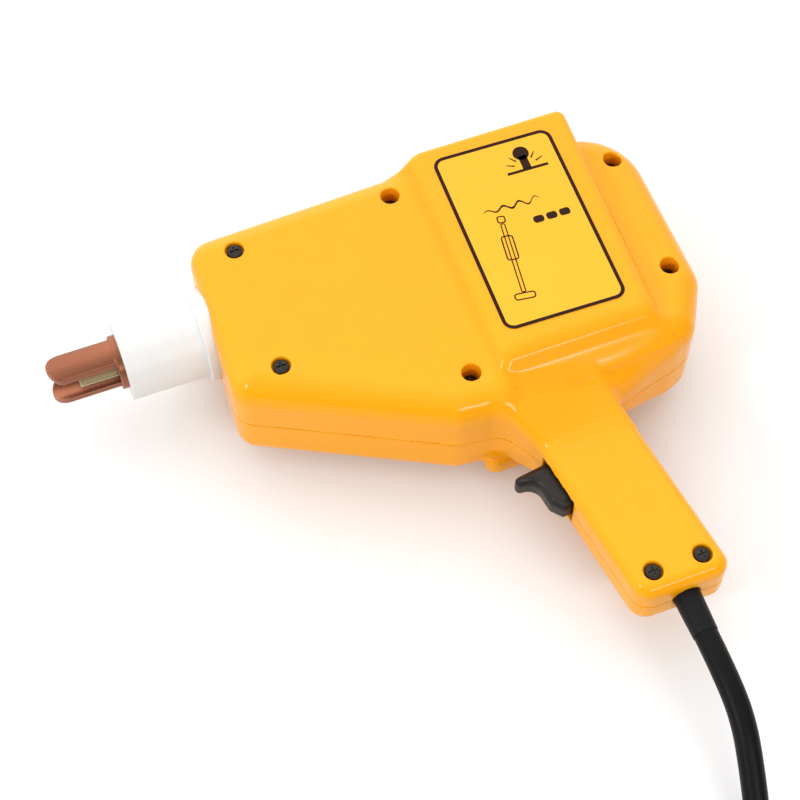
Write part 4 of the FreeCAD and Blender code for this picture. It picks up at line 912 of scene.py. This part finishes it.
def label():
    """Bright film with a dark border and plain drawings of a welded stud and a slide hammer."""
    base = film("label_base", [(rounded_box(*LABEL_BOX), None)], 0, FILM_THICK)
    settle_piece(base, "root", "label_film", "label")
    ink = (FILM_THICK, FILM_THICK + INK_THICK)
    border = film("label_border", [ring_of(*LABEL_BOX, BORDER_LINE)], *ink)
    settle_piece(border, "root", "label_film", finish="label_ink")
    shapes = stud_drawing((13, 33)) + wave_drawing((-3, 14.5), 30)
    for number in range(3):
        place = (BLOCK_SPOT[0] + BLOCK_APART * number, BLOCK_SPOT[1])
        shapes.append((rounded_box(*BLOCK_BOX, place), None))
    for wide, tall, radius, line, level in HAMMER:
        loops = ring_of(wide, tall, radius, line, (HAMMER_X, level))
        shapes.append(tuple(tilted(loop, HAMMER_TILT, HAMMER_PIVOT) for loop in loops))
    art = film("label_drawing", shapes, *ink)
    settle_piece(art, "root", "label_film", finish="label_ink")


# ---------------------------------------------------------------- mains cord

PLUG_SPOT = (-134, -483, 18.5)
CORD = 12 * MM
CORD_LEAVES = [
    (1, -239.7, 42), (1, -261, 42), (0.6, -283, 37), (-4, -306, 26), (-10, -329, 14.5),
    (-13, -351, 7.5), (-13.5, -375, 6.4),
]
CORD_ENDS = [(-109, -481.5, 19), (-121, -483, 18.5), PLUG_SPOT]
COIL_CENTRE = (-90, -402)
INNER_TURN, OUTER_TURN = 66, 78
LOWER_TURN, UPPER_TURN = 7, 19
# Degrees of the coil's turning: between its points, in all, and where the cord moves in, out and up.
COIL_STEP, COIL_TURNED = 15, 1170
INWARD_FROM, INWARD_OVER, OUTWARD_FROM, OUTWARD_OVER = 300, 60, 820, 50
UPWARD_FROM, UPWARD_OVER = 515, 50


def ease(t):
    """Smooth step from 0 to 1."""
    t = min(max(t, 0), 1)
    return t * t * (3 - 2 * t)


def coil_spot(turned):
    """Point of the coil after the cord has turned by so many degrees, clockwise from +X."""
    inward = ease((turned - INWARD_FROM) / INWARD_OVER) - ease((turned - OUTWARD_FROM) / OUTWARD_OVER)
    radius = OUTER_TURN + (INNER_TURN - OUTER_TURN) * inward
    height = LOWER_TURN + (UPPER_TURN - LOWER_TURN) * ease((turned - UPWARD_FROM) / UPWARD_OVER)
    angle = math.radians(-turned)
    return (COIL_CENTRE[0] + radius * math.cos(angle), COIL_CENTRE[1] + radius * math.sin(angle), height)


def cord(on_cord):
    coil = [coil_spot(turned) for turned in range(0, COIL_TURNED + 1, COIL_STEP)]
    route = CORD_LEAVES + coil + CORD_ENDS
    data = bpy.data.curves.new("mains_lead", "CURVE")
    data.dimensions = "3D"
    data.bevel_depth = 1
    data.bevel_resolution = 6
    data.use_fill_caps = True
    data.resolution_u = 8
    spline = data.splines.new("NURBS")
    spline.points.add(len(route) - 1)
    for control, spot in zip(spline.points, route):
        control.co = (*metres(*spot), 1)
        control.radius = CORD / 2
    spline.order_u = 3
    spline.use_endpoint_u = True
    piece = add_object("mains_lead", data)
    settle_piece(piece, "root", "cord_rubber", "mains_cord", "cord_coil", "cord_tail")


# ---------------------------------------------------------------- strain relief, plug and tie

# Points (distance out of the grip's mouth, radius, rounding) of the sleeve round the cord.
RELIEF_LONG = 21
RELIEF = [(0, 6.02, 0), (0, 6.3, 0.3), (RELIEF_LONG, 6.9, 0.3), (24.1, 6.9, 0.3), (24.1, 9.5, 0.4),
          (27.6, 9.5, 0.4), (27.6, 6.02, 0.3), (0, 6.02, 0)]
BOOT_LONG, BOOT_OVER, BOOT_RADIUS, BOOT_SPREAD = 20, 4, 6.7, 1.2
GROOVE_APART, GROOVE_SHIFT, GROOVE_HALF, GROOVE_DEEP, GROOVE_MARGIN = 4, 1.2, 0.9, 0.55, 2
PLUG_LONG, BELL_RADIUS, BELL_SWELL, BELL_COSINE = 42, 11.9, 5.9, 0.96
RING_AWAY, RING_SHIFT, RING_RADIUS = 17.9, 3, 0.7
PLUG_HALF, PLUG_STEP, PLUG_MOST = 18, 0.8, 60000
PIN_APART, PIN_LONG, PIN_EMBED, PIN_HOLE = 19, 19, 8, 2.15
PIN_RADIUS, PIN_TIP, PIN_ROOT_RADIUS, PIN_ROOT_OUT = 2.4, 1.1, 2.1, 3
PINS_HALF_WIDE, PINS_HALF_TALL, PIN_STEP = 12, 3, 0.35
TIE_SPOT = (COIL_CENTRE[0] - 72, COIL_CENTRE[1], 13)
TIE_INSIDE, TIE_CORNER, TIE_THICK, TIE_HALF_WIDE, TIE_STEP = 12.1, 6, 0.9, 7, 0.45


def strain_relief():
    start = (CORD_X, GRIP_FOOT_Y - RELIEF_LONG, MID_Z)
    relief = turned_piece("strain_relief_turned", RELIEF, start, (0, 1, 0), 64)
    settle_piece(relief, "root", "black_plastic", "strain_relief")


def plug_shape(x, y, z):
    """Moulded plug: ribbed boot, flared body with a ring round it, and two holes for the pins."""
    along = PLUG_SPOT[0] - x
    across = y - PLUG_SPOT[1]
    away = np.hypot(across, z - PLUG_SPOT[2])
    face = BOOT_LONG + PLUG_LONG
    ribbed = (along > GROOVE_MARGIN) * (along < BOOT_LONG - GROOVE_MARGIN)
    wave = np.abs((along + GROOVE_SHIFT) % GROOVE_APART - GROOVE_APART / 2)
    groove = GROOVE_DEEP * (wave < GROOVE_HALF) * ribbed
    taper = BOOT_SPREAD * np.clip(along / BOOT_LONG, 0, 1)
    boot = rounded_and(away - BOOT_RADIUS - taper + groove, span(along, 0, BOOT_LONG + BOOT_OVER), 0.6)
    swell = np.clip((along - BOOT_LONG) / (PLUG_LONG / 2), 0, 1)
    bell = (away - BELL_RADIUS - BELL_SWELL * swell) * BELL_COSINE
    bell = rounded_and(bell, span(along, BOOT_LONG, face), 2)
    ring = rod(away - RING_AWAY, along - BOOT_LONG - PLUG_LONG / 2 - RING_SHIFT, RING_RADIUS)
    solid = carved(rounded_or(boot, bell, 1.5), ring, 0.3)
    for side in (-1, 1):
        hole = rod(across - side * PIN_APART / 2, z - PLUG_SPOT[2], PIN_HOLE)
        solid = carved(solid, np.maximum(hole, face - PIN_EMBED - along), 0.2)
    return solid


def pin_shape(x, y, z):
    """Two round pins with domed tips and slimmer roots."""
    along = PLUG_SPOT[0] - BOOT_LONG - PLUG_LONG - x
    away = np.minimum(rod(y - PLUG_SPOT[1] - PIN_APART / 2, z - PLUG_SPOT[2], 0),
                      rod(y - PLUG_SPOT[1] + PIN_APART / 2, z - PLUG_SPOT[2], 0))
    barrel = rounded_and(away - PIN_RADIUS, span(along, 0.5, PIN_LONG), PIN_TIP)
    root = rounded_and(away - PIN_ROOT_RADIUS, span(along, -PIN_EMBED, PIN_ROOT_OUT), 0.2)
    return np.minimum(barrel, root)


def tie_shape(x, y, z):
    """Strap wrapped once round the coil's two layers, with rounded edges."""
    inside = rounded_and(abs(x - TIE_SPOT[0]) - TIE_INSIDE, abs(z - TIE_SPOT[2]) - TIE_INSIDE, TIE_CORNER)
    strap = rounded_and(inside - TIE_THICK, -inside, 0.15)
    return rounded_and(strap, abs(y - TIE_SPOT[1]) - TIE_HALF_WIDE, 0.4)


def plug_and_tie():
    """Pieces on the cord."""
    x, y, z = PLUG_SPOT
    face = x - BOOT_LONG - PLUG_LONG
    body = surface("plug_moulding", plug_shape, (face, y - PLUG_HALF, z - PLUG_HALF),
                   (x, y + PLUG_HALF, z + PLUG_HALF), PLUG_STEP, most=PLUG_MOST)
    settle_piece(body, "root", "plug_plastic", "plug_body")
    pins = surface("plug_pins_turned", pin_shape, (face - PIN_LONG, y - PINS_HALF_WIDE, z - PINS_HALF_TALL),
                   (face + PIN_EMBED, y + PINS_HALF_WIDE, z + PINS_HALF_TALL), PIN_STEP)
    settle_piece(pins, "root", "plated_brass", "plug_pins")
    x, y, z = TIE_SPOT
    strap = surface("coil_strap", tie_shape, (x - z, y - TIE_HALF_WIDE, 0),
                    (x + z, y + TIE_HALF_WIDE, 2 * z), TIE_STEP)
    settle_piece(strap, "root", "tie_strap", "coil_tie")
    return [body, pins, strap]


# ---------------------------------------------------------------- finishes of the CAD nodes

def carried_over():
    """Give every CAD node the finish of its slot."""
    for part in frame["record"]["subparts"]:
        thing = frame["nodes"][part["node"]]
        thing.data.materials.clear()
        thing.data.materials.append(FINISHES[part["material_slot"]])


camera()
studio()
carried_over()
cord(plug_and_tie())
housing()
trigger()
screws()
nose()
springs()
label()
strain_relief()

bpy.context.view_layer.update()
